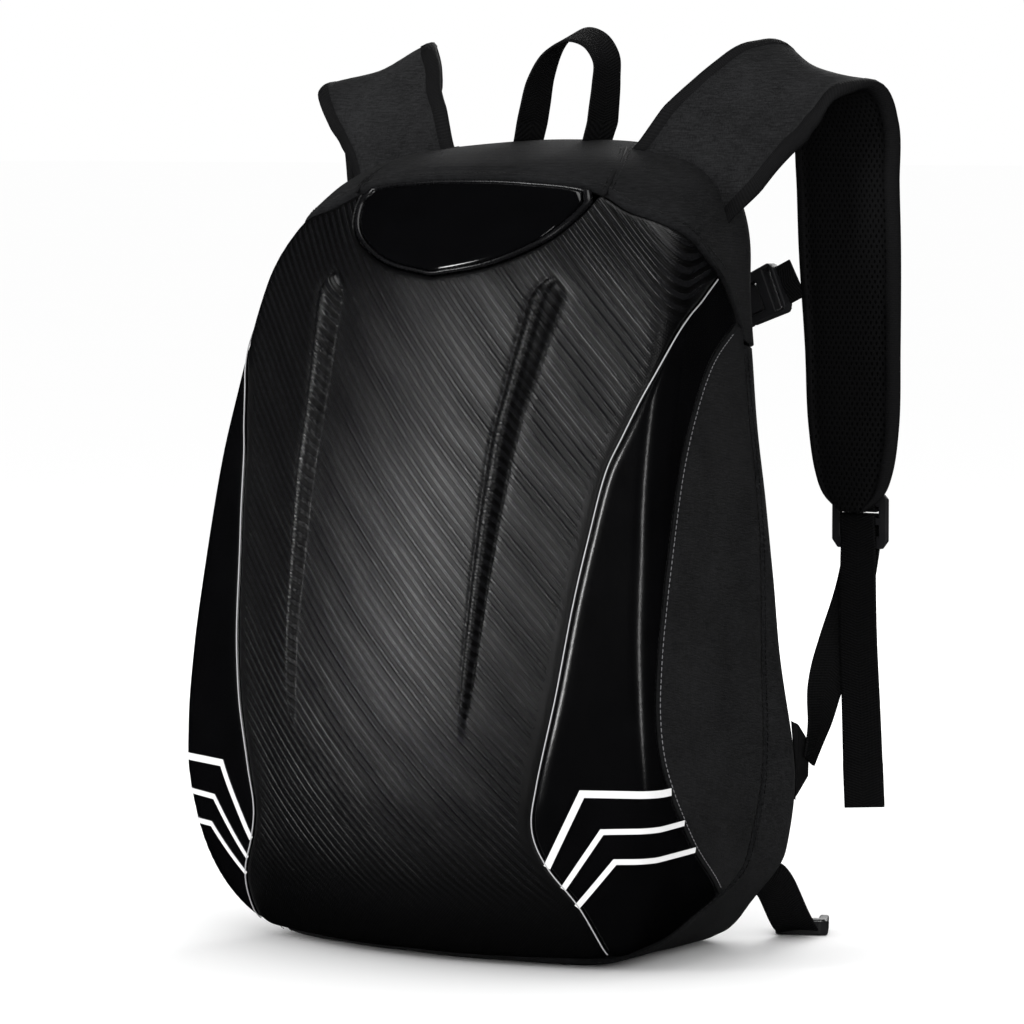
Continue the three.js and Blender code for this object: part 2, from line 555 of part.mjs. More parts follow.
// Shoulder strap: inner and outer edge, x in half widths, y behind the back, z in heights, thickness share
const STRAP = [
  { ix: 0.38, iy: -37, iz: 0.994, ox: 0.84, oy: -30, oz: 0.916, thick: 0.6, bow: 12 },
  { ix: 0.49, iy: -25, iz: 1.032, ox: 0.945, oy: -13, oz: 0.984, thick: 0.8, bow: 5 },
  { ix: 0.55, iy: -13, iz: 1.058, ox: 1.025, oy: -4, oz: 1.018, thick: 0.95, bow: 1 },
  { ix: 0.622, iy: -2, iz: 1.08, ox: 1.098, oy: 5, oz: 1.04, thick: 1 },
  { ix: 0.706, iy: 12, iz: 1.092, ox: 1.154, oy: 15, oz: 1.048, thick: 1 },
  { ix: 0.765, iy: 25, iz: 1.085, ox: 1.182, oy: 29, oz: 1.032, thick: 1 },
  { ix: 0.784, iy: 34, iz: 1.044, ox: 1.188, oy: 37, oz: 0.992, thick: 1 },
  { ix: 0.784, iy: 38, iz: 0.964, ox: 1.182, oy: 40, oz: 0.928, thick: 1 },
  { ix: 0.786, iy: 40, iz: 0.863, ox: 1.182, oy: 43, oz: 0.843, thick: 1 },
  { ix: 0.8, iy: 43, iz: 0.743, ox: 1.176, oy: 45, oz: 0.733, thick: 1 },
  { ix: 0.807, iy: 45, iz: 0.643, ox: 1.165, oy: 47, oz: 0.643, thick: 1 },
  { ix: 0.829, iy: 47, iz: 0.582, ox: 1.137, oy: 47, oz: 0.582, thick: 1 },
  { ix: 0.863, iy: 47, iz: 0.554, ox: 1.098, oy: 47, oz: 0.554, thick: 0.9 },
  { ix: 0.93, iy: 47, iz: 0.534, ox: 1.03, oy: 47, oz: 0.534, thick: 0.75 },
];
function shoulderStrap() {
  const rows = STRAP.map((r) => {
    const inner = place(r.ix, r.iy, r.iz);
    const outer = place(r.ox, r.oy, r.oz);
    const wide = outer.clone().sub(inner);
    const w = wide.length() / 2;
    return { at: inner.lerp(outer, 0.5), wide: wide.normalize(), w, t: (STRAP_THICK / 2) * r.thick, bow: r.bow };
  });
  return strip(smoothStations(rows, 24), onSkin(JOIN_GAP));
}

// Ladder lock behind the end of the strap
const LOCK = { wide: 40, high: 34, thick: 3.6, x: 0.985, back: 54.8, z: 0.522 };
const LOCK_SLOT = { wide: 28, high: 7, bar: 4.5 };
function rectangle(path, x, y, w, h) {
  path.moveTo(x - w / 2, y - h / 2);
  path.lineTo(x + w / 2, y - h / 2);
  path.lineTo(x + w / 2, y + h / 2);
  path.lineTo(x - w / 2, y + h / 2);
  path.closePath();
  return path;
}
function extruded(shape, depth) {
  const g = new THREE.ExtrudeGeometry(shape, { depth, bevelEnabled: false, curveSegments: 3 });
  g.translate(0, 0, -depth / 2);
  return g;
}
function ladderLock() {
  const { wide, high, thick } = LOCK;
  const shape = new THREE.Shape();
  shape.moveTo(-wide / 2 + 4, -high / 2);
  shape.lineTo(wide / 2 - 4, -high / 2);
  shape.lineTo(wide / 2, -high / 2 + 5);
  shape.lineTo(wide / 2, high / 2 - 3);
  shape.lineTo(wide / 2 - 3, high / 2);
  shape.lineTo(-wide / 2 + 3, high / 2);
  shape.lineTo(-wide / 2, high / 2 - 3);
  shape.lineTo(-wide / 2, -high / 2 + 5);
  shape.closePath();
  for (const side of [1, -1]) {
    const y = side * (LOCK_SLOT.high + LOCK_SLOT.bar) / 2;
    shape.holes.push(rectangle(new THREE.Path(), 0, y, LOCK_SLOT.wide, LOCK_SLOT.high));
  }
  const g = extruded(shape, thick);
  g.applyMatrix4(new THREE.Matrix4().makeRotationX(Math.PI / 2));
  const at = place(LOCK.x, LOCK.back, LOCK.z);
  g.translate(at.x, at.y, at.z);
  return g;
}

// Adjuster webbing: from the corner tab up to the lock, round its middle bar and down as a free tail
const TAIL_END_Z = 0.167;
const HEM = 29;
const ADJUSTER_LOW = [
  { x: 0.907, back: 19, z: 0.226, turn: 106 }, { x: 0.914, back: 27, z: 0.268, turn: 92 },
  { x: 0.905, back: 37, z: 0.315, turn: 66 }, { x: 0.92, back: 47, z: 0.365, turn: 34 },
  { x: 0.945, back: 59, z: 0.435, turn: 10 },
];
const TAIL = [
  { x: 1.0, back: 48, z: 0.46, turn: 3 }, { x: 1.01, back: 46, z: 0.38, turn: 8 },
  { x: 1.022, back: 46, z: 0.29, turn: 14 }, { x: 1.03, back: 46, z: 0.226, turn: 20 },
];
const flatTurn = (degrees) => {
  const a = THREE.MathUtils.degToRad(degrees);
  return V(Math.cos(a), Math.sin(a), 0);
};
function adjusterWeb() {
  const half = WEB_THICK / 2;
  const w = WEB_WIDTH / 2;
  const lock = place(LOCK.x, LOCK.back, LOCK.z);
  const ring = LOCK.thick / 2 + FIT_GAP + half + 0.2;
  const soft = (v) => Math.sign(v) * Math.abs(v) ** 0.5;
  const row = (r) => ({ at: place(r.x, r.back, r.z), wide: flatTurn(r.turn), w, t: half });
  const low = ADJUSTER_LOW.map(row);
  low.push({ at: V(lock.x, lock.y + ring + 0.4, lock.z - 12), wide: flatTurn(0), w, t: half });
  const tail = TAIL.map(row);
  const up = smoothStations(low, 15);
  const over = spread(4).map((t) => {
    const a = Math.PI * t;
    const bar = LOCK_SLOT.bar / 2 + FIT_GAP + half + 0.2;
    return { at: V(lock.x, lock.y + ring * soft(Math.cos(a)), lock.z + bar * soft(Math.sin(a))), wide: flatTurn(0), w, t: half };
  });
  const front = { at: V(lock.x + 1, lock.y - ring - 0.6, lock.z - 12), wide: flatTurn(0), w, t: half };
  const down = smoothStations([front, ...tail], 10);
  const last = down[down.length - 1];
  const drop = TAIL_END_Z * BODY_HEIGHT;
  const hem = [0, 0.02, 0.98, 1].map((t) => ({
    at: V(last.at.x + 1.5 * t, last.at.y, drop + HEM * (1 - t)), wide: last.wide, w, t: t === 0 ? half : 3 * half,
  }));
  const stations = [...up, ...over, ...down.slice(0, -1), ...hem];
  return strip(stations.map((s) => ({ ...s, flat: true })));
}
// Corner tab that holds the adjuster webbing
const TAB = { x: 0.93, low: 0.183, high: 0.282, reach: 22, thick: 3, tipZ: 0.228, tipHalf: 11 };
function anchorTab() {
  const base = place(TAB.x, -5, (TAB.low + TAB.high) / 2);
  const half = (TAB.high - TAB.low) * BODY_HEIGHT / 2;
  const tip = V(base.x - 8, BACK_Y + TAB.reach, TAB.tipZ * BODY_HEIGHT);
  const rows = spread(4).map((t) => ({
    at: base.clone().lerp(tip, t), wide: V(0, 0, 1), w: half + (TAB.tipHalf - half) * t, t: TAB.thick / 2,
    flat: true, across: [0.4, -0.4],
  }));
  return strip(rows, onSkin(JOIN_GAP));
}

// Chest strap: webbing from each strap edge to the buckle halves
const CHEST = { x: 0.778, back: 39, z: 0.823, sag: 0.07 };
const CHEST_BUCKLE = { right: 0.722, left: 0.47, z: 0.813, drop: 0.038, back: 38 };
const BUCKLE = { long: 30, wide: 33, slotLong: 5, slotWide: 27, tongue: 14, tongueWide: 18 };
function femaleShape() {
  const { long, wide, slotLong, slotWide, tongue, tongueWide } = BUCKLE;
  const s = new THREE.Shape();
  const g = FIT_GAP;
  s.moveTo(0, -wide / 2 + 4.2);
  s.lineTo(3, -wide / 2);
  s.lineTo(long, -wide / 2 + 1.5);
  s.lineTo(long, -tongueWide / 2 - g);
  s.lineTo(long - tongue - g, -tongueWide / 2 - g);
  s.lineTo(long - tongue - g, tongueWide / 2 + g);
  s.lineTo(long, tongueWide / 2 + g);
  s.lineTo(long, wide / 2 - 1.5);
  s.lineTo(3, wide / 2);
  s.lineTo(0, wide / 2 - 4.2);
  s.closePath();
  s.holes.push(rectangle(new THREE.Path(), 3 + slotLong / 2, 0, slotLong, slotWide));
  return s;
}
function maleShape() {
  const { wide, slotLong, slotWide, tongue, tongueWide } = BUCKLE;
  const s = new THREE.Shape();
  const g = FIT_GAP;
  s.moveTo(-tongue, -tongueWide / 2 + 3);
  s.lineTo(-tongue + 4, -tongueWide / 2);
  s.lineTo(g, -tongueWide / 2);
  s.lineTo(g, -wide / 2 + 1.5);
  s.lineTo(14, -wide / 2 + 2);
  s.lineTo(16, -wide / 2 + 4);
  s.lineTo(16, wide / 2 - 4);
  s.lineTo(14, wide / 2 - 2);
  s.lineTo(g, wide / 2 - 1.5);
  s.lineTo(g, tongueWide / 2);
  s.lineTo(-tongue + 4, tongueWide / 2);
  s.lineTo(-tongue, tongueWide / 2 - 3);
  s.closePath();
  s.holes.push(rectangle(new THREE.Path(), 13 - slotLong / 2, 0, slotLong, slotWide));
  return s;
}
// Puts a flat part with its own x along `along`, its own y along `wide`
function oriented(geometry, origin, along, wide) {
  const x = along.clone().normalize();
  const y = wide.clone().addScaledVector(x, -wide.dot(x)).normalize();
  const z = x.clone().cross(y);
  geometry.applyMatrix4(new THREE.Matrix4().makeBasis(x, y, z));
  geometry.translate(origin.x, origin.y, origin.z);
  return geometry;
}
const chestRight = place(CHEST_BUCKLE.right, CHEST_BUCKLE.back, CHEST_BUCKLE.z);
const chestLeft = place(CHEST_BUCKLE.left, CHEST_BUCKLE.back, CHEST_BUCKLE.z - CHEST_BUCKLE.drop);
const chestAlong = chestLeft.clone().sub(chestRight).normalize();
const UP = V(0, 0, 1);
function chestFemale() {
  return oriented(extruded(femaleShape(), BUCKLE_THICK), chestRight, chestAlong, UP);
}
function chestMale() {
  const at = chestRight.clone().addScaledVector(chestAlong, BUCKLE.long);
  return oriented(extruded(maleShape(), BUCKLE_THICK - 2), at, chestAlong, UP);
}
// A flat web between two points, with a sag
function web(from, to, wideFrom, wideTo, sag, count, ends) {
  const stations = spread(count).map((t) => {
    const at = from.clone().lerp(to, t);
    at.z -= sag * 4 * t * (1 - t);
    return { at, wide: wideFrom.clone().lerp(wideTo, t).normalize(), w: WEB_WIDTH / 2, t: WEB_THICK / 2, flat: true };
  });
  stations[0].along = V(Math.sign(to.x - from.x), 0, 0);
  stations[count].along = ends.last;
  return strip(stations);
}
function chestWebRight() {
  const from = place(CHEST.x, CHEST.back, CHEST.z);
  const to = chestRight.clone().addScaledVector(chestAlong, -FIT_GAP);
  return web(from, to, UP, UP, 0, 3, { last: chestAlong });
}
function chestWebLeft() {
  const from = mirrored(place(CHEST.x, CHEST.back, CHEST.z));
  const to = chestRight.clone().addScaledVector(chestAlong, BUCKLE.long + 16 + 2 * FIT_GAP);
  return web(from, to, UP, UP, CHEST.sag * BODY_HEIGHT / 2, 12, { last: chestAlong.clone().negate() });
}

// Waist strap: short webbing from the lower back corner to a buckle half on the floor
const WAIST = { x: 0.81, back: -3, z: 0.082, endX: 0.8, endBack: 40, endZ: 4.8 };
function waistFrames() {
  const from = place(WAIST.x, WAIST.back, WAIST.z);
  const to = V(WAIST.endX * HALF_WIDTH, BACK_Y + WAIST.endBack, WAIST.endZ);
  return { from, to, wideFrom: V(0.47, 0.34, 0.81), wideTo: V(0.88, 0.47, 0) };
}
function waistWeb() {
  const { from, to, wideFrom, wideTo } = waistFrames();
  const end = to.clone().addScaledVector(waistAlong(wideTo), -FIT_GAP);
  const stations = spread(8).map((t) => {
    const at = from.clone().lerp(end, t);
    at.z = from.z + (end.z - from.z) * Math.sin((Math.PI / 2) * t) ** 2;
    return { at, wide: wideFrom.clone().lerp(wideTo, t).normalize(), w: WEB_WIDTH / 2, t: WEB_THICK / 2, flat: true };
  });
  stations[0].along = V(0.1, 1, -0.1).normalize();
  stations[8].along = waistAlong(wideTo);
  return strip(stations, onSkin(0.05));
}
const waistAlong = (wide) => V(-wide.y, wide.x, 0).normalize();
function waistBuckle(shape, thick, shift) {
  const { to, wideTo } = waistFrames();
  const wide = V(wideTo.x, wideTo.y, 0).normalize();
  const along = V(-wide.y, wide.x, 0);
  const at = to.clone().addScaledVector(along, shift);
  at.z = BUCKLE_THICK / 2 + 0.3;
  return oriented(extruded(shape, thick), at, along, wide);
}
function maleWaist() {
  const { to, wideTo } = waistFrames();
  const wide = V(wideTo.x, wideTo.y, 0).normalize();
  const along = V(wide.y, -wide.x, 0);
  const at = to.clone().addScaledVector(along, -16 - FIT_GAP);
  at.z = BUCKLE_THICK / 2 + 0.3;
  return oriented(extruded(maleShape(), BUCKLE_THICK - 2), at, along, wide);
}

// Grab handle: middle line in x and z, leaning to the right as in use
const HANDLE = [
  { x: -0.157, z: 0 }, { x: -0.135, z: 0.035 }, { x: -0.11, z: 0.07 }, { x: -0.057, z: 0.104 },
  { x: 0.008, z: 0.121 }, { x: 0.06, z: 0.125 }, { x: 0.127, z: 0.116 }, { x: 0.17, z: 0.094 },
  { x: 0.17, z: 0.066 }, { x: 0.159, z: 0.03 }, { x: 0.149, z: 0 },
];
const HANDLE_BACK = -12;
function grabHandle() {
  const curve = new THREE.CatmullRomCurve3(
    HANDLE.map((r) => V(r.x * HALF_WIDTH, BACK_Y + HANDLE_BACK, (1 + r.z) * BODY_HEIGHT)), false, "centripetal",
  );
  const stations = spread(20).map((t) => {
    const lean = Math.sin(Math.PI * t) ** 2;
    const wide = V(0.25 * (1 - lean), 0.95, 0.34 * lean).normalize();
    return { at: curve.getPointAt(t), wide, w: WEB_WIDTH / 2, t: WEB_THICK / 2, flat: true, across: [0.4, -0.4] };
  });
  stations[0].along = V(0, 0, 1);
  stations[20].along = V(0, 0, -1);
  stations[20].foot = true;
  return strip(stations, onSkin(FIT_GAP));
}

const backpack = new THREE.Group();
function add(name, geometry, colour, roughness) {
  const material = new THREE.MeshStandardMaterial({ color: colour, roughness });
  const mesh = new THREE.Mesh(geometry, material);
  mesh.name = name;
  backpack.add(mesh);
}
function addPair(name, geometry, colour, roughness) {
  add(name + "_right", geometry, colour, roughness);
  add(name + "_left", flipX(geometry.index ? geometry : indexed(geometry)), colour, roughness);
}
function indexed(geometry) {
  const g = geometry.clone();
  g.setIndex([...Array(g.getAttribute("position").count).keys()]);
  return g;
}
add("carbon_shell", carbonShell(), 0x16171a, 0.4);
add("badge_rim", badgeRim(), 0x101012, 0.3);
add("badge_lens", badgeLens(), 0x050506, 0.1);
addPair("gloss_panel", glossPanel(), 0x08080a, 0.2);
addPair("side_panel", sidePanel(), 0x1c1d1f, 0.9);
add("gusset", gusset(), 0x17181a, 0.9);
add("hood", hood(), 0x17181a, 0.9);
add("back_panel", backPanel(), 0x141416, 0.95);
add("grab_handle", grabHandle(), 0x111113, 0.8);
addPair("shoulder_strap", shoulderStrap(), 0x17181a, 0.9);
addPair("ladder_lock", ladderLock(), 0x1a1a1c, 0.5);
addPair("adjuster_web", adjusterWeb(), 0x111113, 0.8);
addPair("anchor_tab", anchorTab(), 0x17181a, 0.9);
add("sternum_web_right", chestWebRight(), 0x111113, 0.8);
add("sternum_web_left", chestWebLeft(), 0x111113, 0.8);
add("sternum_buckle_female", chestFemale(), 0x1a1a1c, 0.5);
add("sternum_buckle_male", chestMale(), 0x1a1a1c, 0.5);
addPair("waist_web", waistWeb(), 0x111113, 0.8);
add("waist_buckle_female", waistBuckle(femaleShape(), BUCKLE_THICK, FIT_GAP), 0x1a1a1c, 0.5);
add("waist_buckle_male", flipX(indexed(maleWaist())), 0x1a1a1c, 0.5);

export default backpack;
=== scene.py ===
"""Looks of a motorcycle backpack with a moulded shell. Lengths are in millimetres until a mesh is made."""
import math

import bpy
import numpy as np
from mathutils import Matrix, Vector


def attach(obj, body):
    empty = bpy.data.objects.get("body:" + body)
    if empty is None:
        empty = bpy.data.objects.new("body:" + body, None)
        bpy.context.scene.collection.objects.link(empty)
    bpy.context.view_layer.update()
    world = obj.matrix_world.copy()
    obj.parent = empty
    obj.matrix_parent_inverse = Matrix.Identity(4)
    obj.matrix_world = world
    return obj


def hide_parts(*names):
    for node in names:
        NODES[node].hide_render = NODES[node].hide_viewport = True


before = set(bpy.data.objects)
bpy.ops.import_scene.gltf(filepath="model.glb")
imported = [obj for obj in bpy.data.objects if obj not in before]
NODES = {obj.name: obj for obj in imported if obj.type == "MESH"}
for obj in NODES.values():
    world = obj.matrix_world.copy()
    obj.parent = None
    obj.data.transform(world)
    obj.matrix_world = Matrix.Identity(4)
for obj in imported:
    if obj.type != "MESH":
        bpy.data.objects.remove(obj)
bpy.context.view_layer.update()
MM = 0.001


def table(columns, *rows):
    return dict(zip(columns.split(), np.array(rows, float).T))


# Body sizes
BODY_HEIGHT = 498.0
HALF_WIDTH = 178.5
FRONT_DEPTH = 113.0
BACK_Y = 103.0
BACK_EDGE_RADIUS = 15.0
CROWN = 1.7e-3
CROWN_END = 0.515 * HALF_WIDTH
TAPER_FROM = -0.53 * FRONT_DEPTH
TAPER_RUN = 1.24 * FRONT_DEPTH
# Inner spine that surface points are seen from: shares of x, half width, depth and height
SPINE = {"x": 0.5, "wide": 0.45, "back": 0.33, "low": 0.14, "high": 0.8}
SNAP_REACH = 6.0

# Walls, gaps and relief
SHELL_WALL = 3.0
FABRIC_WALL = 2.4
SEAM_GAP = 0.3
JOIN_GAP = 0.5
HOOD_GAP = 0.5
RIB_HEIGHT = 9.0
RIB_TOP_HALF = 15.0
RIB_TIP_HALF = 3.2
RIB_AT = 0.565
RIB_TOP_Z = 0.829 * BODY_HEIGHT
RIB_TIP_Z = 0.278 * BODY_HEIGHT
STRAP_THICK = 12.0
WEB_WIDTH = 25.0
WEB_THICK = 1.8
PAD_RELIEF = 7.0
RIB_PITCH = 4.8
DIAGONAL = 0.7071
HOLE_LEAN = 0.577

# Front view outline, right half: shares of half width and of height
OUTLINE = table(
    "wide high",
    (0, 0), (0.34, 0), (0.605, 0), (0.734, 0.01), (0.835, 0.036), (0.913, 0.08), (0.964, 0.133),
    (0.997, 0.197), (1, 0.251), (0.986, 0.341), (0.966, 0.442), (0.952, 0.542), (0.947, 0.643),
    (0.952, 0.733), (0.947, 0.803), (0.919, 0.857), (0.857, 0.904), (0.784, 0.938), (0.678, 0.962),
    (0.55, 0.979), (0.42, 0.989), (0.224, 0.997), (0, 1),
)
# Side view: share of the front depth, and the radius of the outer edge
PROFILE = table(
    "high front edge",
    (0, 0.584, 10), (0.012, 0.664, 10), (0.04, 0.77, 10), (0.08, 0.867, 10), (0.12, 0.929, 10),
    (0.16, 0.965, 10), (0.22, 0.995, 10), (0.281, 1, 11), (0.361, 0.978, 12), (0.502, 0.88, 13),
    (0.602, 0.788, 14), (0.703, 0.646, 15), (0.803, 0.496, 17), (0.829, 0.451, 18), (0.884, 0.31, 22),
    (0.924, 0.15, 24), (0.944, 0.062, 24), (0.968, -0.088, 24), (0.988, -0.319, 24), (1, -0.549, 24),
)
TAPER = table(
    "high loss",
    (0, 0.1), (0.04, 0.1), (0.12, 0.03), (0.24, 0.045), (0.36, 0.08), (0.5, 0.1), (0.7, 0.16),
    (0.8, 0.18), (0.9, 0.13), (1, 0.06),
)
# Seams on the right side: shares of half width, front depth and height
FRONT_SEAM = table(
    "x y z",
    (0.807, 0.425, 0.83), (0.85, 0.16, 0.802), (0.88, -0.12, 0.771), (0.851, -0.355, 0.7),
    (0.8, -0.468, 0.642), (0.768, -0.534, 0.604), (0.735, -0.627, 0.522), (0.71, -0.696, 0.452),
    (0.672, -0.782, 0.335), (0.612, -0.821, 0.229), (0.59, -0.817, 0.185), (0.597, -0.799, 0.16),
    (0.63, -0.755, 0.13), (0.708, -0.651, 0.084), (0.735, -0.4, 0.013),
)
REAR_SEAM = table(
    "x y z",
    (0.787, 0.65, 0.772), (0.842, 0.243, 0.724), (0.878, 0, 0.66), (0.906, -0.169, 0.596),
    (0.938, -0.336, 0.502), (0.957, -0.433, 0.441), (0.979, -0.535, 0.367), (0.986, -0.562, 0.32),
    (0.997, -0.551, 0.272), (0.999, -0.462, 0.225), (0.984, -0.309, 0.181), (0.962, -0.149, 0.146),
    (0.868, 0.306, 0.078),
)
BAND_SEAM = table(
    "x y z",
    (0.785, 0.72, 0.748), (0.807, 0.745, 0.637), (0.848, 0.729, 0.525), (0.887, 0.665, 0.414),
    (0.932, 0.581, 0.315), (0.962, 0.512, 0.245), (0.956, 0.438, 0.166), (0.913, 0.398, 0.107),
    (0.865, 0.3, 0.076), (0.818, 0.132, 0.048), (0.762, -0.03, 0.023), (0.711, -0.298, 0.01),
    (0.618, -0.4, 0.008), (0.4, -0.505, 0.008), (0, -0.6, 0.008),
)
RIM = table(
    "x y z",
    (0, -0.062, 0.944), (0.24, -0.045, 0.941), (0.5, -0.002, 0.929), (0.65, -0.022, 0.905),
    (0.795, 0.12, 0.872), (0.822, 0.27, 0.85), (0.807, 0.425, 0.83), (0.79, 0.56, 0.8), (0.787, 0.65, 0.772),
)
BADGE_EDGE = table(
    "x y z",
    (0.505, -0.002, 0.928), (0.49, -0.1, 0.909), (0.43, -0.23, 0.88), (0.33, -0.33, 0.858),
    (0.2, -0.41, 0.841), (0, -0.451, 0.829),
)
# Reflective stripes on the right side, from the rear seam to the front seam, in millimetres
CHEVRONS = table(
    "ax ay az bx by bz cx cy cz width",
    (178.4, -53, 112, 136.3, -84.3, 110.8, 112, -85.7, 65.5, 4.4),
    (176, -35.7, 91.6, 146.8, -78.7, 88.5, 119.5, -79.8, 52.6, 3.4),
    (172, -18.2, 73.4, 152.9, -74, 70.7, 125.4, -73.9, 41.7, 3.4),
)
# Shoulder strap: inner and outer edge, x in half widths, y behind the back, z in heights
STRAP = table(
    "ix iy iz ox oy oz thick bow",
    (0.38, -37, 0.994, 0.84, -30, 0.916, 0.6, 12), (0.49, -25, 1.032, 0.945, -13, 0.984, 0.8, 5),
    (0.55, -13, 1.058, 1.025, -4, 1.018, 0.95, 1), (0.622, -2, 1.08, 1.098, 5, 1.04, 1, 0),
    (0.706, 12, 1.092, 1.154, 15, 1.048, 1, 0), (0.765, 25, 1.085, 1.182, 29, 1.032, 1, 0),
    (0.784, 34, 1.044, 1.188, 37, 0.992, 1, 0), (0.784, 38, 0.964, 1.182, 40, 0.928, 1, 0),
    (0.786, 40, 0.863, 1.182, 43, 0.843, 1, 0), (0.8, 43, 0.743, 1.176, 45, 0.733, 1, 0),
    (0.807, 45, 0.643, 1.165, 47, 0.643, 1, 0), (0.829, 47, 0.582, 1.137, 47, 0.582, 1, 0),
    (0.863, 47, 0.554, 1.098, 47, 0.554, 0.9, 0), (0.93, 47, 0.534, 1.03, 47, 0.534, 0.75, 0),
)
LOCK = {"x": 0.985, "back": 54.8, "z": 0.522, "thick": 3.6, "bar": 4.5}
ADJUSTER_LOW = table(
    "x back z turn",
    (0.907, 19, 0.226, 106), (0.914, 27, 0.268, 92), (0.905, 37, 0.315, 66), (0.92, 47, 0.365, 34),
    (0.945, 59, 0.435, 10),
)
TAIL = table(
    "x back z turn",
    (1.0, 48, 0.46, 3), (1.01, 46, 0.38, 8), (1.022, 46, 0.29, 14), (1.03, 46, 0.226, 20),
)
TAIL_END_Z = 0.167
HEM = 29.0
TAB = {"x": 0.93, "low": 0.183, "high": 0.282, "reach": 22, "thick": 3, "tip_z": 0.228, "tip_half": 11}
CHEST = {"x": 0.778, "back": 39, "z": 0.823, "sag": 0.07}
CHEST_BUCKLE = {"x": 0.722, "left": 0.47, "z": 0.813, "drop": 0.038, "back": 38, "long": 30, "male": 16}
WAIST = {"x": 0.81, "back": -3, "z": 0.082, "end_x": 0.8, "end_back": 40, "end_z": 4.8}
HANDLE = table(
    "x z",
    (-0.157, 0), (-0.135, 0.035), (-0.11, 0.07), (-0.057, 0.104), (0.008, 0.121), (0.06, 0.125),
    (0.127, 0.116), (0.17, 0.094), (0.17, 0.066), (0.159, 0.03), (0.149, 0),
)
HANDLE_BACK = -12.0

# Form
def column_curve(rows, key, value):
    """Smooth monotone curve through a table column."""
    x, y = rows[key], rows[value]
    step = np.diff(x)
    slope = np.diff(y) / step
    m = np.zeros(len(x))
    m[0], m[-1] = slope[0], slope[-1]
    for i in range(1, len(x) - 1):
        a, b = slope[i - 1], slope[i]
        if a * b > 0:
            wa, wb = 2 * step[i] + step[i - 1], step[i] + 2 * step[i - 1]
            m[i] = (wa + wb) / (wa / a + wb / b)

    def at(u):
        u = np.clip(u, x[0], x[-1])
        i = np.clip(np.searchsorted(x, u, side="right") - 1, 0, len(x) - 2)
        t = (u - x[i]) / step[i]
        s = 1 - t
        ends = y[i] * (1 + 2 * t) * s * s + y[i + 1] * t * t * (3 - 2 * t)
        return ends + m[i] * step[i] * t * s * s + m[i + 1] * step[i] * t * t * (t - 1)

    return at


front_at = column_curve(PROFILE, "high", "front")
edge_at = column_curve(PROFILE, "high", "edge")
loss_at = column_curve(TAPER, "high", "loss")


def cat_rom(points, per, power=0.5, ends=None):
    """Curve through points, `per` steps between neighbours: centripetal at power 0.5, uniform at 0."""
    p = np.asarray(points, float)
    before, after = ends or (2 * p[0] - p[1], 2 * p[-1] - p[-2])
    q = np.vstack([before, p, after])
    parts = []
    t = (np.arange(per) / per)[:, None]
    for i in range(len(p) - 1):
        a, b, c, d = q[i : i + 4]
        ta, tb, tc = (max(np.linalg.norm(v[:3]), 1e-4) ** power for v in (b - a, c - b, d - c))
        m1 = ((b - a) / ta - (c - a) / (ta + tb) + (c - b) / tb) * tb
        m2 = ((c - b) / tb - (d - b) / (tb + tc) + (d - c) / tc) * tb
        parts.append((2 * t**3 - 3 * t**2 + 1) * b + (t**3 - 2 * t**2 + t) * m1
                     + (-2 * t**3 + 3 * t**2) * c + (t**3 - t**2) * m2)
    return np.vstack([*parts, p[-1:]])


def outline_points(per=10):
    """The right half of the outline, which goes on round the left half at both ends."""
    rows = np.stack([OUTLINE["wide"] * HALF_WIDTH, OUTLINE["high"] * BODY_HEIGHT], 1)
    return cat_rom(rows, per, 0, (rows[1] * [-1, 1], rows[-2] * [-1, 1]))


EDGE_POINTS = outline_points()
EDGE_START, EDGE_STEP = EDGE_POINTS[:-1], np.diff(EDGE_POINTS, axis=0)
EDGE_SQUARE = (EDGE_STEP**2).sum(1)


def outline_distance(x, z, block=4000):
    """Signed distance to the outline in the front view, negative inside."""
    out = np.empty(len(x))
    for k in range(0, len(x), block):
        px, pz = np.abs(x[k : k + block, None]), z[k : k + block, None]
        dx, dz = px - EDGE_START[:, 0], pz - EDGE_START[:, 1]
        t = np.clip((dx * EDGE_STEP[:, 0] + dz * EDGE_STEP[:, 1]) / EDGE_SQUARE, 0, 1)
        ex, ez = dx - EDGE_STEP[:, 0] * t, dz - EDGE_STEP[:, 1] * t
        square = ex * ex + ez * ez
        i = square.argmin(1)
        r = np.arange(len(i))
        side = EDGE_STEP[i, 0] * ez[r, i] - EDGE_STEP[i, 1] * ex[r, i]
        out[k : k + block] = np.where(side > 0, -1, 1) * np.sqrt(square[r, i])
    return out


def front_y(x, z):
    ax = np.abs(x)
    rise = np.where(ax < CROWN_END, CROWN * ax * ax, CROWN * CROWN_END * (2 * ax - CROWN_END))
    return rise - FRONT_DEPTH * front_at(z / BODY_HEIGHT)


def rounded_max(a, b, r):
    soft = np.hypot(np.maximum(a + r, 0), np.maximum(b + r, 0)) - r
    return np.where((a > -r) & (b > -r), soft, np.maximum(a, b))


def form(p):
    """The body: negative inside."""
    x, y, z = p[:, 0], p[:, 1], p[:, 2]
    back = np.clip((y - TAPER_FROM) / TAPER_RUN, 0, 1.2)
    side = outline_distance(x / (1 - loss_at(z / BODY_HEIGHT) * back), z)
    sx = (front_y(x + 1, z) - front_y(x - 1, z)) / 2
    sz = (front_y(x, z + 1) - front_y(x, z - 1)) / 2
    front = (front_y(x, z) - y) / np.sqrt(1 + sx * sx + sz * sz)
    return rounded_max(rounded_max(side, front, edge_at(z / BODY_HEIGHT)), y - BACK_Y, BACK_EDGE_RADIUS)


def flat(p):
    return p.reshape(-1, 3)


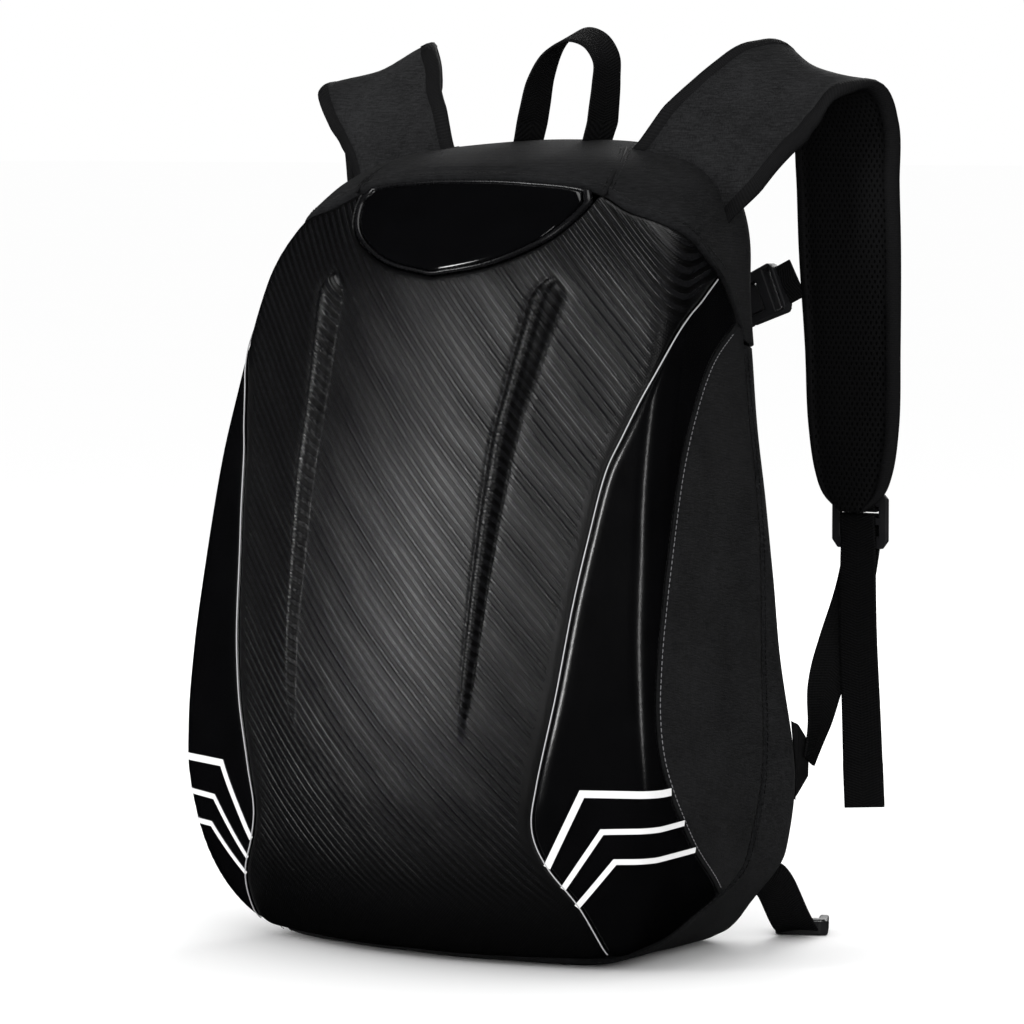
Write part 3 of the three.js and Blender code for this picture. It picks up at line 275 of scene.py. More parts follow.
def outward(p, e=0.6):
    q = flat(p)
    g = np.stack([form(q + e * v) - form(q - e * v) for v in np.eye(3)], 1)
    return unit(g).reshape(p.shape)


def unit(v):
    return v / np.maximum(np.linalg.norm(v, axis=-1, keepdims=True), 1e-12)


def bisect(inside, lo, hi, steps):
    """Where each ray leaves the form."""
    for _ in range(steps):
        mid = (lo + hi) / 2
        within = inside(mid)
        lo, hi = np.where(within, mid, lo), np.where(within, hi, mid)
    return lo


def snap(p):
    """Moves points onto the form, seen from the inner spine of the body."""
    q = flat(np.asarray(p, float))
    wide = SPINE["wide"] * HALF_WIDTH
    x = np.clip(SPINE["x"] * q[:, 0], -wide, wide)
    z = np.clip(q[:, 2], SPINE["low"] * BODY_HEIGHT, SPINE["high"] * BODY_HEIGHT)
    centre = np.stack([x, np.full(len(q), SPINE["back"] * BACK_Y), z], 1)
    ray = unit(q - centre)
    near = np.linalg.norm(q - centre, axis=1)
    inside = lambda reach: form(centre + ray * reach[:, None]) < 0
    lo = np.where(inside(near - SNAP_REACH), near - SNAP_REACH, 0)
    hi = np.where(inside(near + SNAP_REACH), 1.5 * HALF_WIDTH, near + SNAP_REACH)
    return (centre + ray * bisect(inside, lo, hi, 16)[:, None]).reshape(np.shape(p))


def run_of(points):
    """Length along a line, up to each of its points."""
    return np.concatenate([[0], np.cumsum(np.linalg.norm(np.diff(points, axis=0), axis=1))])


def by_length(points, count):
    """Points of even spacing along a line of points."""
    run = run_of(points[:, :3])
    at = np.linspace(0, run[-1], count)
    return np.stack([np.interp(at, run, points[:, k]) for k in range(points.shape[1])], 1)


def curve_through(points):
    share = np.linspace(0, 1, len(points))
    return lambda t: np.stack([np.interp(t, share, points[:, k]) for k in range(3)], -1)


def seam_curve(rows, count=900):
    raw = np.stack([rows["x"] * HALF_WIDTH, rows["y"] * FRONT_DEPTH, rows["z"] * BODY_HEIGHT], 1)
    return curve_through(snap(by_length(cat_rom(snap(raw), 60), count)))


front_seam = seam_curve(FRONT_SEAM)
rear_seam = seam_curve(REAR_SEAM)
band_seam = seam_curve(BAND_SEAM)
rim_curve = seam_curve(RIM)
badge_edge = seam_curve(BADGE_EDGE)


def share_where(curve, test):
    """Share of a curve where the test first fails."""
    t = np.linspace(0, 1, 4001)
    return t[np.argmin(test(curve(t)))]


def short_of_shell(p):
    """Points of the band seam above or behind the end of the front seam."""
    return (p[:, 2] > SEAM_END[2] + 0.001) | (p[:, 1] > SEAM_END[1])


SEAM_AT_RIM = share_where(rim_curve, lambda p: p[:, 2] > FRONT_SEAM["z"][0] * BODY_HEIGHT)
BADGE_AT_RIM = share_where(rim_curve, lambda p: p[:, 0] < badge_edge(0)[0])
SEAM_END = front_seam(1)
FRONT_SEAM_AT_BAND = share_where(band_seam, short_of_shell)
REAR_SEAM_AT_BAND = share_where(band_seam, lambda p: p[:, 2] > rear_seam(1)[2])
SIDE_END_AT_BAND = REAR_SEAM_AT_BAND - 0.009
BADGE_SHARE = 0.63
FLIP = np.array([-1.0, 1.0, 1.0])


def two_sided(curve, a):
    """A right-hand curve of |a|, mirrored where a is negative."""
    p = curve(np.abs(a))
    return np.where(np.asarray(a)[..., None] < 0, p * FLIP, p)


def across(curve):
    """A curve from the left to the right of the bag, from its right-hand half."""
    return lambda u: two_sided(curve, 2 * np.asarray(u) - 1)


def part(curve, start, end):
    """A curve between two of its shares, backwards where end is less than start."""
    return lambda t: curve(start + (end - start) * np.asarray(t))


def mirrored(curve):
    return lambda t: curve(t) * FLIP


def line(a, b):
    return lambda t: a + (b - a) * np.asarray(t)[..., None]


def coons(edges, us, vs, gap, end_gap=None):
    """Points of the form inside four curves: left and right run upwards, bottom and top to the right."""
    end_gap = gap if end_gap is None else end_gap
    left, right = edges["left"], edges["right"]

    def pinned(curve, start, end):
        first, last = start - curve(0.0), end - curve(1.0)
        return lambda t: curve(t) + (1 - np.asarray(t))[..., None] * first + np.asarray(t)[..., None] * last

    bottom = pinned(edges["bottom"], left(0.0), right(0.0))
    top = pinned(edges["top"], left(1.0), right(1.0))
    u0, v0 = np.meshgrid(us, vs)
    gu = gap / np.maximum(np.linalg.norm(left(v0) - right(v0), axis=-1), 5 * gap)
    gv = end_gap / np.maximum(np.linalg.norm(bottom(u0) - top(u0), axis=-1), 5 * end_gap)
    u, v = gu + (1 - 2 * gu) * u0, gv + (1 - 2 * gv) * v0
    a, b = u[..., None], v[..., None]
    p = left(v) * (1 - a) + right(v) * a + bottom(u) * (1 - b) + top(u) * b
    corners = left(0.0) * (1 - a) * (1 - b) + right(0.0) * a * (1 - b) + left(1.0) * (1 - a) * b
    return snap(p - (corners + right(1.0) * a * b))


def smooth(x, lo, hi):
    t = np.clip((x - lo) / (hi - lo), 0, 1)
    return t * t * (3 - 2 * t)


def edge_run(grid, side):
    """Distance of each grid point from one edge of its grid, along the surface."""
    axis = 1 if side in ("left", "right") else 0
    step = np.diff(grid, axis=axis, prepend=np.take(grid, [0], axis=axis))
    run = np.cumsum(np.linalg.norm(step, axis=-1), axis=axis)
    return np.take(run, [-1], axis=axis) - run if side in ("right", "top") else run


def ripple(p, size, seed, terms=7):
    """Smooth waves of about that wavelength, from -1 to 1, the same on each run."""
    rng = np.random.default_rng(seed)
    total = np.zeros(p.shape[:-1])
    for _ in range(terms):
        d = unit(rng.normal(size=3))
        total += np.sin((p @ d) * 2 * math.pi / (size * rng.uniform(0.7, 1.5)) + rng.uniform(0, 6.28))
    return total / terms**0.5 / 1.4


# Meshes
def grid_faces(rows, cols):
    i, j = np.meshgrid(np.arange(rows - 1), np.arange(cols - 1), indexing="ij")
    a = (i * cols + j).ravel()
    return np.stack([a, a + 1, a + cols + 1, a + cols], 1)


def wall(outer, inner):
    rows, cols = outer.shape[:2]
    n = rows * cols
    faces = [grid_faces(rows, cols), grid_faces(rows, cols)[:, ::-1] + n]
    idx = np.arange(n).reshape(rows, cols)
    ring = np.concatenate([idx[0, :], idx[1:, -1], idx[-1, -2::-1], idx[-2:0:-1, 0]])
    nxt = np.roll(ring, -1)
    faces.append(np.stack([ring, ring + n, nxt + n, nxt], 1))
    return np.vstack([flat(outer), flat(inner)]), np.vstack(faces)


def ring_loft(rings, closed=False):
    """A skin over rings of equally many points, with fans over the two ends."""
    rings = np.asarray(rings)
    n, k = rings.shape[:2]
    faces = [[i * k + j, i * k + (j + 1) % k, (i + 1) % n * k + (j + 1) % k, (i + 1) % n * k + j]
             for i in range(n if closed else n - 1) for j in range(k)]
    if closed:
        return flat(rings), faces
    first, end = n * k, (n - 1) * k
    faces += [[first, (q + 1) % k, q] for q in range(k)]
    faces += [[first + 1, end + q, end + (q + 1) % k] for q in range(k)]
    return np.vstack([flat(rings), rings[0].mean(0), rings[-1].mean(0)]), faces


def faces_out(points, faces):
    """Faces turned so that the closed mesh faces outwards."""
    q = np.array([[*f, f[-1]] if len(f) == 3 else f for f in faces])
    a, b, c, d = (points[q[:, m]] for m in range(4))
    total = (a * np.cross(b, c)).sum() + (a * np.cross(c, d)).sum()
    return [list(f)[::-1] for f in faces] if total < 0 else [list(f) for f in faces]


def point_data(mesh, name, kind, field, values):
    mesh.attributes.new(name, kind, "POINT").data.foreach_set(field, np.asarray(values, np.float32).ravel())


def link(name, data):
    obj = bpy.data.objects.new(name, data)
    bpy.context.scene.collection.objects.link(obj)
    return obj


def make(name, points, faces, materials, grain=None, fade=None, zones=None, sharp=None):
    mesh = bpy.data.meshes.new(name)
    mesh.from_pydata((points * MM).tolist(), [], faces_out(points, faces))
    for material in materials if isinstance(materials, (list, tuple)) else [materials]:
        mesh.materials.append(material)
    if zones is not None:
        mesh.polygons.foreach_set("material_index", np.asarray(zones, np.int32))
    if grain is not None:
        point_data(mesh, "grain", "FLOAT_VECTOR", "vector", grain)
    if fade is not None:
        point_data(mesh, "fade", "FLOAT", "value", fade)
    mesh.shade_smooth()
    if sharp:
        mesh.set_sharp_from_angle(angle=math.radians(sharp))
    mesh.update()
    return link(name, mesh)


def own(obj, slot, *nodes):
    """The piece belongs to the bag and stands for CAD nodes, which it hides; slot is not used."""
    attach(obj, "root")
    if nodes:
        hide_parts(*nodes)
    return obj


def single(name, points, faces, materials, slot, node=None, **more):
    return own(make(name, points, faces, materials, **more), slot, *([node] if node else []))


def pair(name, points, faces, materials, slot, node=None, **more):
    """The right-hand piece and its mirror image."""
    made = []
    for side, turn in (("right", 1), ("left", -1)):
        own_name, own_node = f"{name}_{side}", node and f"{node}_{side}"
        made.append(single(own_name, points * [turn, 1, 1], faces, materials, slot, own_node, **more))
    return made


# Materials
class Shade:
    """A node material with one Principled shader and coordinates in millimetres."""

    def __init__(self, name, specular=0.5):
        self.material = bpy.data.materials.new(name)
        self.material.use_nodes = True
        self.tree = self.material.node_tree
        self.shader = self.tree.nodes["Principled BSDF"]
        self.set(Specular_IOR_Level=specular)
        metres = self.node("TexCoord").outputs["Object"]
        scaled = self.node("VectorMath", i0=metres, i1=(1 / MM, 1 / MM, 1 / MM))
        scaled.operation = "MULTIPLY"
        self.at = scaled.outputs[0]

    def node(self, kind, **inputs):
        n = self.tree.nodes.new("ShaderNode" + kind)
        for key, value in inputs.items():
            self.put(n, key, value)
        return n

    def put(self, n, key, value):
        key = int(key[1:]) if key[0] == "i" and key[1:].isdigit() else key.replace("_", " ")
        if isinstance(value, bpy.types.NodeSocket):
            self.tree.links.new(value, n.inputs[key])
        else:
            n.inputs[key].default_value = value

    def maths(self, operation, a, b=0.0, c=0.0):
        n = self.node("Math", i0=a, i1=b, i2=c)
        n.operation = operation
        return n.outputs[0]

    def times(self, a, b):
        return self.maths("MULTIPLY", a, b)

    def total(self, *terms, base=0.0):
        """The sum of value and weight pairs, added to a base."""
        for value, weight in terms:
            base = self.maths("MULTIPLY_ADD", value, weight, base)
        return base

    def attribute(self, name, output):
        n = self.node("Attribute")
        n.attribute_name = name
        return n.outputs[output]

    def split(self, vector):
        return self.node("SeparateXYZ", Vector=vector).outputs[:3]

    def run(self):
        """Lengths across and along the piece."""
        return self.split(self.attribute("grain", "Vector"))[:2]

    def noise(self, scale, detail=2.0, stretch=None):
        vector = self.node("Mapping", Vector=self.at, Scale=stretch).outputs[0] if stretch else self.at
        return self.node("TexNoise", Vector=vector, Scale=scale, Detail=detail).outputs["Fac"]

    def wave(self, value, pitch):
        """A sine of a length in millimetres, from 0 to 1."""
        return self.total((self.maths("SINE", self.times(value, 2 * math.pi / pitch)), 0.5), base=0.5)

    def between(self, value, lo, hi):
        n = self.node("MapRange", i0=value, i1=lo, i2=hi)
        n.interpolation_type = "SMOOTHSTEP"
        return n.outputs[0]

    def mix(self, factor, a, b):
        n = self.node("Mix")
        n.data_type = "RGBA"
        self.put(n, "i0", factor)
        self.put(n, "i6", (*a, 1) if isinstance(a, tuple) else a)
        self.put(n, "i7", (*b, 1) if isinstance(b, tuple) else b)
        return n.outputs[2]

    def finish(self, colour, rough, height, depth_mm):
        """Links the colour, the roughness and a bump of that depth."""
        self.put(self.shader, "Base_Color", colour)
        self.put(self.shader, "Roughness", rough)
        bump = self.node("Bump", Strength=1.0, Distance=depth_mm * MM, Height=height)
        self.put(self.shader, "Normal", bump.outputs[0])
        return self.material

    def set(self, **values):
        for key, value in values.items():
            self.put(self.shader, key, value)
        return self


def carbon_material():
    """Moulded black polyurethane with slanting ribs and a fine grain between them."""
    s = Shade("carbon", 0.55)
    wide, high = s.run()
    slant = s.total((wide, DIAGONAL), (high, DIAGONAL))
    along = s.total((wide, DIAGONAL), (high, -DIAGONAL))
    ridge = s.between(s.wave(s.total((s.noise(0.02, 1), 1.2), (slant, 1)), RIB_PITCH), 0.3, 0.7)
    ribs = s.times(ridge, s.attribute("fade", "Fac"))
    dots = s.times(s.wave(along, 1.5), s.wave(slant, 1.25))
    grain = s.noise(1.3)
    colour = s.mix(s.total((dots, 0.35), (ribs, 0.65)), (0.0012, 0.0012, 0.0014), (0.0072, 0.0072, 0.008))
    rough = s.total((ribs, -0.15), (grain, 0.1), base=0.31)
    return s.finish(colour, rough, s.total((ribs, 1), (dots, 0.45), (grain, 0.5)), 0.26)


def cloth_material(name, dark, light, pitch=0.9):
    """Woven polyester: crossing yarns with uneven thickness."""
    s = Shade(name, 0.14).set(Sheen_Weight=0.015, Sheen_Roughness=0.5)
    x, y, z = s.split(s.at)
    weave = s.times(s.wave(s.total((x, 1), (y, 1)), pitch), s.wave(z, pitch))
    slub = s.total((s.noise(1.0, 3, (1.6, 1.6, 0.16)), 1), (s.noise(1.0, 3, (0.16, 0.16, 1.6)), 1))
    tone = s.total((weave, 0.25), (slub, 0.75), (s.noise(0.03), 0.4))
    colour = s.mix(s.between(tone, 0.65, 1.5), dark, light)
    return s.finish(colour, s.total((slub, 0.12), base=0.74), s.total((slub, 0.9), (weave, 1)), 0.16)


def patent_material():
    """Patent leather, with slow waves under the gloss."""
    s = Shade("patent")
    soft = s.noise(0.035)
    colour = s.mix(soft, (0.001, 0.001, 0.0012), (0.0024, 0.0024, 0.0028))
    rough = s.total((s.noise(0.3, 3), 0.06), base=0.16)
    return s.finish(colour, rough, s.total((soft, 3.0), (s.noise(0.5), 1)), 0.05)


def badge_material(name, dark, roughness):
    s = Shade(name, 0.6)
    colour = s.mix(s.noise(0.05), dark, tuple(1.7 * c for c in dark))
    rough = s.total((s.noise(0.4, 3), 0.05), base=roughness)
    return s.finish(colour, rough, s.noise(0.03, 1), 0.3)


def webbing_material():
    """Narrow webbing: close cross ribs that change direction along the middle, and a firm selvedge."""
    s = Shade("webbing", 0.14)
    wide, along = s.run()
    ribs = s.wave(s.total((s.maths("ABSOLUTE", wide), 0.35), (along, 1)), 1.7)
    cords = s.wave(wide, 2.2)
    fuzz = s.noise(1.2)
    tone = s.total((ribs, 0.6), (cords, 0.2), (fuzz, 0.4))
    colour = s.mix(tone, (0.0011, 0.0011, 0.0013), (0.0062, 0.0062, 0.0068))
    rough = s.total((fuzz, 0.2), base=0.6)
    return s.finish(colour, rough, s.total((cords, 0.35), (ribs, 1), (fuzz, 0.3)), 0.28)


def mesh_material(name, dark, light, pitch=3.6):
    """Spacer mesh: staggered rows of small round holes, painted near-black inside as painted shade."""
    s = Shade(name, 0.12)
    wide, along = s.run()
    rows = (s.total((wide, 1), (along, lean)) for lean in (HOLE_LEAN, -HOLE_LEAN))
    holes = s.between(s.times(*(s.wave(row, pitch) for row in rows)), 0.45, 0.75)
    fuzz = s.noise(1.5)
    # Painted shade: the holes are coloured near-black for the shade inside them; their bump depth is real
    # relief.
    colour = s.mix(holes, s.mix(fuzz, dark, light), (0.0004, 0.0004, 0.0004))
    rough = s.total((fuzz, 0.2), base=0.7)
    return s.finish(colour, rough, s.total((holes, -1), (fuzz, 0.25)), 0.8)


def binding_material():
    """Folded tape with fine cross ribs."""
    s = Shade("binding", 0.14)
    ribs = s.wave(s.run()[1], 1.1)
    fuzz = s.noise(1.4)
    colour = s.mix(s.total((ribs, 0.4), (fuzz, 0.6)), (0.0022, 0.0022, 0.0025), (0.0088, 0.0088, 0.0096))
    rough = s.total((fuzz, 0.2), base=0.65)
    return s.finish(colour, rough, s.total((ribs, 1), (fuzz, 1)), 0.14)


def plastic_material():
    s = Shade("buckle_plastic")
    grain = s.noise(2.2, 3)
    colour = s.mix(s.noise(0.1), (0.008, 0.008, 0.009), (0.016, 0.016, 0.018))
    return s.finish(colour, s.total((grain, 0.2), base=0.34), grain, 0.05)


def bright_material(name, dark, light, roughness):
    """Reflective film, piping or thread: fine beads under a smooth face."""
    s = Shade(name)
    beads = s.noise(2.5)
    colour = s.mix(s.total((beads, 0.7), (s.noise(0.06), 0.4)), dark, light)
    return s.finish(colour, s.total((beads, 0.2), base=roughness), beads, 0.04)




CARBON = carbon_material()
FABRIC = cloth_material("fabric", (0.0026, 0.0027, 0.0031), (0.0155, 0.0158, 0.017))
STRAP_CLOTH = cloth_material("strap_cloth", (0.0045, 0.0046, 0.005), (0.0235, 0.0239, 0.0252))
SIDE_CLOTH = cloth_material("side_cloth", (0.0036, 0.0037, 0.0041), (0.0138, 0.014, 0.015))
PATENT = patent_material()
LENS = badge_material("badge_plate", (0.0014, 0.0014, 0.0016), 0.06)
RIM_GLOSS = badge_material("badge_frame", (0.0035, 0.0035, 0.004), 0.25)
WEBBING = webbing_material()
LINING = mesh_material("spacer_mesh", (0.0018, 0.0018, 0.002), (0.006, 0.006, 0.0066))
BACK_MESH = mesh_material("back_mesh", (0.005, 0.005, 0.0056), (0.016, 0.016, 0.0174), 4.6)
BINDING = binding_material()
PLASTIC = plastic_material()
REFLECTIVE = bright_material("reflective", (0.62, 0.62, 0.62), (0.92, 0.92, 0.92), 0.4)
PIPING = bright_material("piping", (0.25, 0.25, 0.26), (0.6, 0.6, 0.61), 0.35)
THREAD = bright_material("thread", (0.09, 0.09, 0.095), (0.25, 0.25, 0.26), 0.6)
DARK_THREAD = bright_material("dark_thread", (0.002, 0.002, 0.0024), (0.009, 0.009, 0.0098), 0.6)


# Panels
def skin(grid, lift, thick=FABRIC_WALL):
    """A wall of that thickness under a grid, which lift raises or lowers."""
    normal = outward(grid)
    return wall(grid + normal * lift[..., None], grid + normal * (np.minimum(lift, 0) - thick)[..., None])


def rolled(grid, sides, depth=1.3, width=4.0):
    """Edges that turn down into their seams."""
    lift = np.zeros(grid.shape[:2])
    for side in sides:
        lift -= depth * (1 - smooth(edge_run(grid, side), 0, width)) ** 2
    return lift


def finer(count, end=0.012):
    """Even shares from 0 to 1, with close rows at both ends for a rolled edge."""
    inner = np.linspace(end, 1 - end, count)
    return np.concatenate([[0, end / 4, end / 2], inner, [1 - end / 2, 1 - end / 4, 1]])


def shell_top(reach):
    """Upper edge of the shell's right half: round the badge, then along the rim."""
    low = badge_edge(np.clip(1 - reach / BADGE_SHARE, 0, 1))
    rim = rim_curve(BADGE_AT_RIM + (SEAM_AT_RIM - BADGE_AT_RIM) * (reach - BADGE_SHARE) / (1 - BADGE_SHARE))
    return np.where(np.asarray(reach)[..., None] < BADGE_SHARE, low, rim)


def rib_lift(a, z):
    """Height of the two long ribs, with a shallow crease round each."""
    along = np.clip((z - RIB_TIP_Z) / (RIB_TOP_Z - RIB_TIP_Z), 0, 1)
    half = RIB_TIP_HALF + (RIB_TOP_HALF - RIB_TIP_HALF) * along**0.8
    off = (np.abs(a) - RIB_AT) * HALF_WIDTH * 0.78 / half
    over = np.clip((z - RIB_TOP_Z + RIB_TOP_HALF) / RIB_TOP_HALF, 0, 3)
    reach = np.hypot(off, over)
    height = RIB_HEIGHT * (0.45 + 0.55 * along) * np.clip(along * 12, 0, 1)
    rise = height * np.clip(1 - reach**2, 0, 1) ** 0.75
    crease = 0.8 * np.exp(-((reach - 1.07) / 0.13) ** 2) * smooth(along, 0, 0.1)
    return rise - crease


def arc(u, slope):
    """Length along a curve of that slope over u."""
    return np.concatenate([[0], np.cumsum(np.sqrt(1 + slope[1:] ** 2) * np.diff(u))])


def shell_grain(p):
    """Lengths along the shell, across and up, for its slanting pattern."""
    z = np.linspace(0, BODY_HEIGHT, 1500)
    up = arc(z, np.gradient(-FRONT_DEPTH * front_at(z / BODY_HEIGHT), z))
    x = np.linspace(0, HALF_WIDTH, 600)
    out = arc(x, 2 * CROWN * np.minimum(x, CROWN_END))
    wide = np.sign(p[..., 0]) * np.interp(np.abs(p[..., 0]), x, out)
    return np.stack([wide, np.interp(p[..., 2], z, up), np.zeros(p.shape[:-1])], -1)


# Shares of the shell's half width with a column of points, closest over the rib
SHELL_COLUMNS = np.concatenate([
    np.linspace(0, 0.4, 14), np.linspace(0.415, 0.72, 34), np.linspace(0.74, 0.985, 14), [0.99, 0.995, 1],
])


def carbon_shell():
    right = part(front_seam, 1, 0)
    edges = {
        "left": mirrored(right),
        "right": right,
        "bottom": across(part(band_seam, 1, FRONT_SEAM_AT_BAND)),
        "top": across(shell_top),
    }
    columns = np.concatenate([-SHELL_COLUMNS[:0:-1], SHELL_COLUMNS])
    grid = coons(edges, (columns + 1) / 2, finer(170, 0.008), SEAM_GAP, JOIN_GAP)
    lift = rib_lift(np.broadcast_to(columns, grid.shape[:2]), grid[..., 2])
    lift = lift + rolled(grid, ("left", "right"), 1.5, 4) + rolled(grid, ("bottom", "top"), 1.2, 3)
    side = np.minimum(edge_run(grid, "left"), edge_run(grid, "right"))
    fade = smooth(grid[..., 2], 8, 95) * smooth(side, 1, 16) * smooth(edge_run(grid, "top"), 0, 8)
    grain = np.tile(flat(shell_grain(grid)), (2, 1))
    single("shell_moulding", *skin(grid, lift, SHELL_WALL), CARBON, "shell", "carbon_shell",
           grain=grain, fade=np.tile(fade.ravel(), 2))


def gloss_panels():
    edges = {
        "left": part(front_seam, 1, 0),
        "right": part(rear_seam, 1, 0),
        "bottom": part(band_seam, FRONT_SEAM_AT_BAND, REAR_SEAM_AT_BAND),
        "top": part(rim_curve, SEAM_AT_RIM, 1),
    }
    grid = coons(edges, finer(22, 0.03), finer(120, 0.006), SEAM_GAP)
    lift = rolled(grid, ("left", "right"), 1.4, 5) + rolled(grid, ("top", "bottom"), 1.2, 3)
    pair("gloss_side", *skin(grid, lift), PATENT, "patent", "gloss_panel")


def side_panels():
    edges = {
        "left": part(rear_seam, 1, 0),
        "right": part(band_seam, SIDE_END_AT_BAND, 0),
        "bottom": line(rear_seam(1.0), band_seam(SIDE_END_AT_BAND)),
        "top": line(rear_seam(0.0), band_seam(0.0)),
    }
    grid = coons(edges, finer(28, 0.03), finer(110, 0.008), SEAM_GAP)
    middle = np.minimum(edge_run(grid, "left"), edge_run(grid, "right"))
    lift = rolled(grid, ("left", "right"), 1.3, 5) + 0.5 * ripple(grid, 70, 4) * smooth(middle, 2, 25)
    pair("fabric_side", *skin(grid, lift), SIDE_CLOTH, "fabric", "side_panel")


BACK_LOW = 0.04 * BODY_HEIGHT
BACK_HIGH = 0.965 * BODY_HEIGHT
HOOD_END_Z = 0.735 * BODY_HEIGHT


def back_half(z):
    """Half width of the flat back at those heights."""
    z = np.asarray(z, float)
    inside = lambda x: form(np.stack([x, np.full(z.shape, BACK_Y - 0.02), z], 1)) < 0
    return bisect(inside, np.zeros(z.shape), np.full(z.shape, HALF_WIDTH), 26)


def back_points(z):
    return np.stack([back_half(z), np.full(z.shape, BACK_Y), z], 1)


def gusset():
    rows = back_points(np.linspace(HOOD_END_Z, BACK_LOW, 60))
    back = curve_through(by_length(np.vstack([rows, [[0, BACK_Y, BACK_LOW]]]), 900))
    seam, rear = across(part(band_seam, 1, 0)), across(part(back, 1, 0))
    left, right = (line(seam(end), rear(end)) for end in (0.0, 1.0))
    edges = {"left": left, "right": right, "bottom": seam, "top": rear}
    grid = coons(edges, np.linspace(0, 1, 341), finer(18, 0.03), JOIN_GAP)
    lift = rolled(grid, ("bottom", "top"), 1.4, 4) + 0.35 * ripple(grid, 55, 9)
    single("fabric_band", *skin(grid, lift), FABRIC, "fabric", "gusset")


def hood():
    rows = back_points(np.linspace(BACK_HIGH, HOOD_END_Z, 60))
    back = curve_through(by_length(np.vstack([[[0, BACK_Y, BACK_HIGH]], rows]), 900))

    def lower(v):
        """Front quarter along the rim's end, the rest down to the back."""
        v = np.asarray(v, float)
        a = line(rim_curve(1.0), band_seam(0.0))(np.clip(4 * v, 0, 1))
        b = line(band_seam(0.0), back(1.0))(np.clip((v - 0.25) / 0.75, 0, 1))
        return np.where(v[..., None] < 0.25, a, b)

    edges = {"left": mirrored(lower), "right": lower, "bottom": across(rim_curve), "top": across(back)}
    grid = coons(edges, finer(190, 0.008), finer(52, 0.02), HOOD_GAP)
    rim = edge_run(grid, "bottom")
    lift = 1.4 * smooth(rim, -2, 5) - 2.0 * (1 - smooth(rim, 0, 2.5)) ** 2 + rolled(grid, ("top",), 1.3, 4)
    lift -= 0.9 * np.exp(-((rim - 9) / 1.1) ** 2)
    lift += 0.6 * ripple(grid, 60, 21) * smooth(rim, 8, 30) * smooth(edge_run(grid, "top"), 4, 25)
    single("hood_cloth", *skin(grid, lift), FABRIC, "fabric", "hood")


# Badge: each ring's share of the badge's outline and its height over the skin
FRAME_STEPS = [(0.985, -3), (0.985, 0.2), (0.972, 1.2), (0.955, 1.6), (0.938, 1.2), (0.926, 0.4), (0.92, -3)]
PLATE_STEPS = [(0.915, -3), (0.915, 0.1), (0.9, 0.9), (0.87, 1.2), (0.7, 1.3), (0.45, 1.0), (0.2, 0.8)]
BADGE_CORNER = 0.94


def badge_loop(scale, count=48):
    a = np.linspace(-BADGE_CORNER, BADGE_CORNER, count)
    low = two_sided(part(badge_edge, 1, 0), a)
    high = two_sided(part(rim_curve, 0, BADGE_AT_RIM), -a)
    middle = rim_curve(0.0) + (badge_edge(1.0) - rim_curve(0.0)) * 0.45
    return snap(middle + (np.vstack([low, high]) - middle) * scale)


def raised(p, height):
    return p + outward(p) * height


def badge():
    frame_rings, plate_rings = ([raised(badge_loop(share), height) for share, height in steps]
                                for steps in (FRAME_STEPS, PLATE_STEPS))
    loft = ring_loft(np.stack(frame_rings, 1), closed=True)
    single("badge_frame_piece", *loft, RIM_GLOSS, "badge_frame", "badge_rim")
    single("badge_plate_piece", *ring_loft(plate_rings), LENS, "badge_plate", "badge_lens")


# Strips
def frames(at, wide):
    along = unit(np.gradient(at, axis=0))
    wide = unit(wide - along * (wide * along).sum(1, keepdims=True))
    return along, wide, np.cross(along, wide)


def flat_section():
    """A flat strip's section, in half widths and half thicknesses, with rounded corners."""
    top = [(0.97, 0.9), (0.9, 1), (0.5, 1), (0, 1), (-0.5, 1), (-0.9, 1), (-0.97, 0.9)]
    return [(1, -0.45), (1, 0.45), *top, (-1, 0.45), (-1, -0.45), *((-a, -b) for a, b in top)]


FLAT_SECTION = flat_section()
STRIP_SHARP = 60


def strip(at, wide, half=WEB_WIDTH / 2, thick=WEB_THICK / 2, section=FLAT_SECTION):
    """Rings and lengths of a flat strip; half widths and half thicknesses may vary along it."""
    along, wide, up = frames(at, np.broadcast_to(wide, at.shape))
    half, thick = (np.broadcast_to(v, len(at))[:, None] for v in (half, thick))
    a, b = np.array(section).T
    rings = at[:, None] + wide[:, None] * (half * a)[..., None] + up[:, None] * (thick * b)[..., None]
    run = np.broadcast_to(run_of(at)[:, None], rings.shape[:2])
    return rings, np.stack([half * a, run, np.zeros(rings.shape[:2])], -1)


def with_ends(grain):
    """Lengths for the points of a loft, with the middles of its two ends."""
    return np.vstack([flat(grain), grain[0].mean(0), grain[-1].mean(0)])


def strip_piece(build, name, rings, grain, node=None, material=WEBBING, slot="webbing"):
    """A strip, once or on both sides: build is single or pair."""
    build(name, *ring_loft(rings), material, slot, node, grain=with_ends(grain), sharp=STRIP_SHARP)


def place(x, back, z):
    """A place from a share of the half width, a distance behind the back and a share of the height."""
    return np.stack([np.asarray(x) * HALF_WIDTH, BACK_Y + np.asarray(back), np.asarray(z) * BODY_HEIGHT], -1)


def spot(row):
    return place(row["x"], row["back"], row["z"])

def settle(rings, lift, share):
    """Rings whose first share lies on the skin and rises away from it."""
    n = max(2, round(share * len(rings)))
    foot = rings[:n].copy()
    on = snap(foot)
    on += outward(on) * lift
    w = smooth(np.arange(n) / n, 0, 1)[:, None, None]
    out = rings.copy()
    out[:n] = on * (1 - w) + foot * w
    return out


STRAP_EDGE = 0.79
STRAP_COUNT = 150


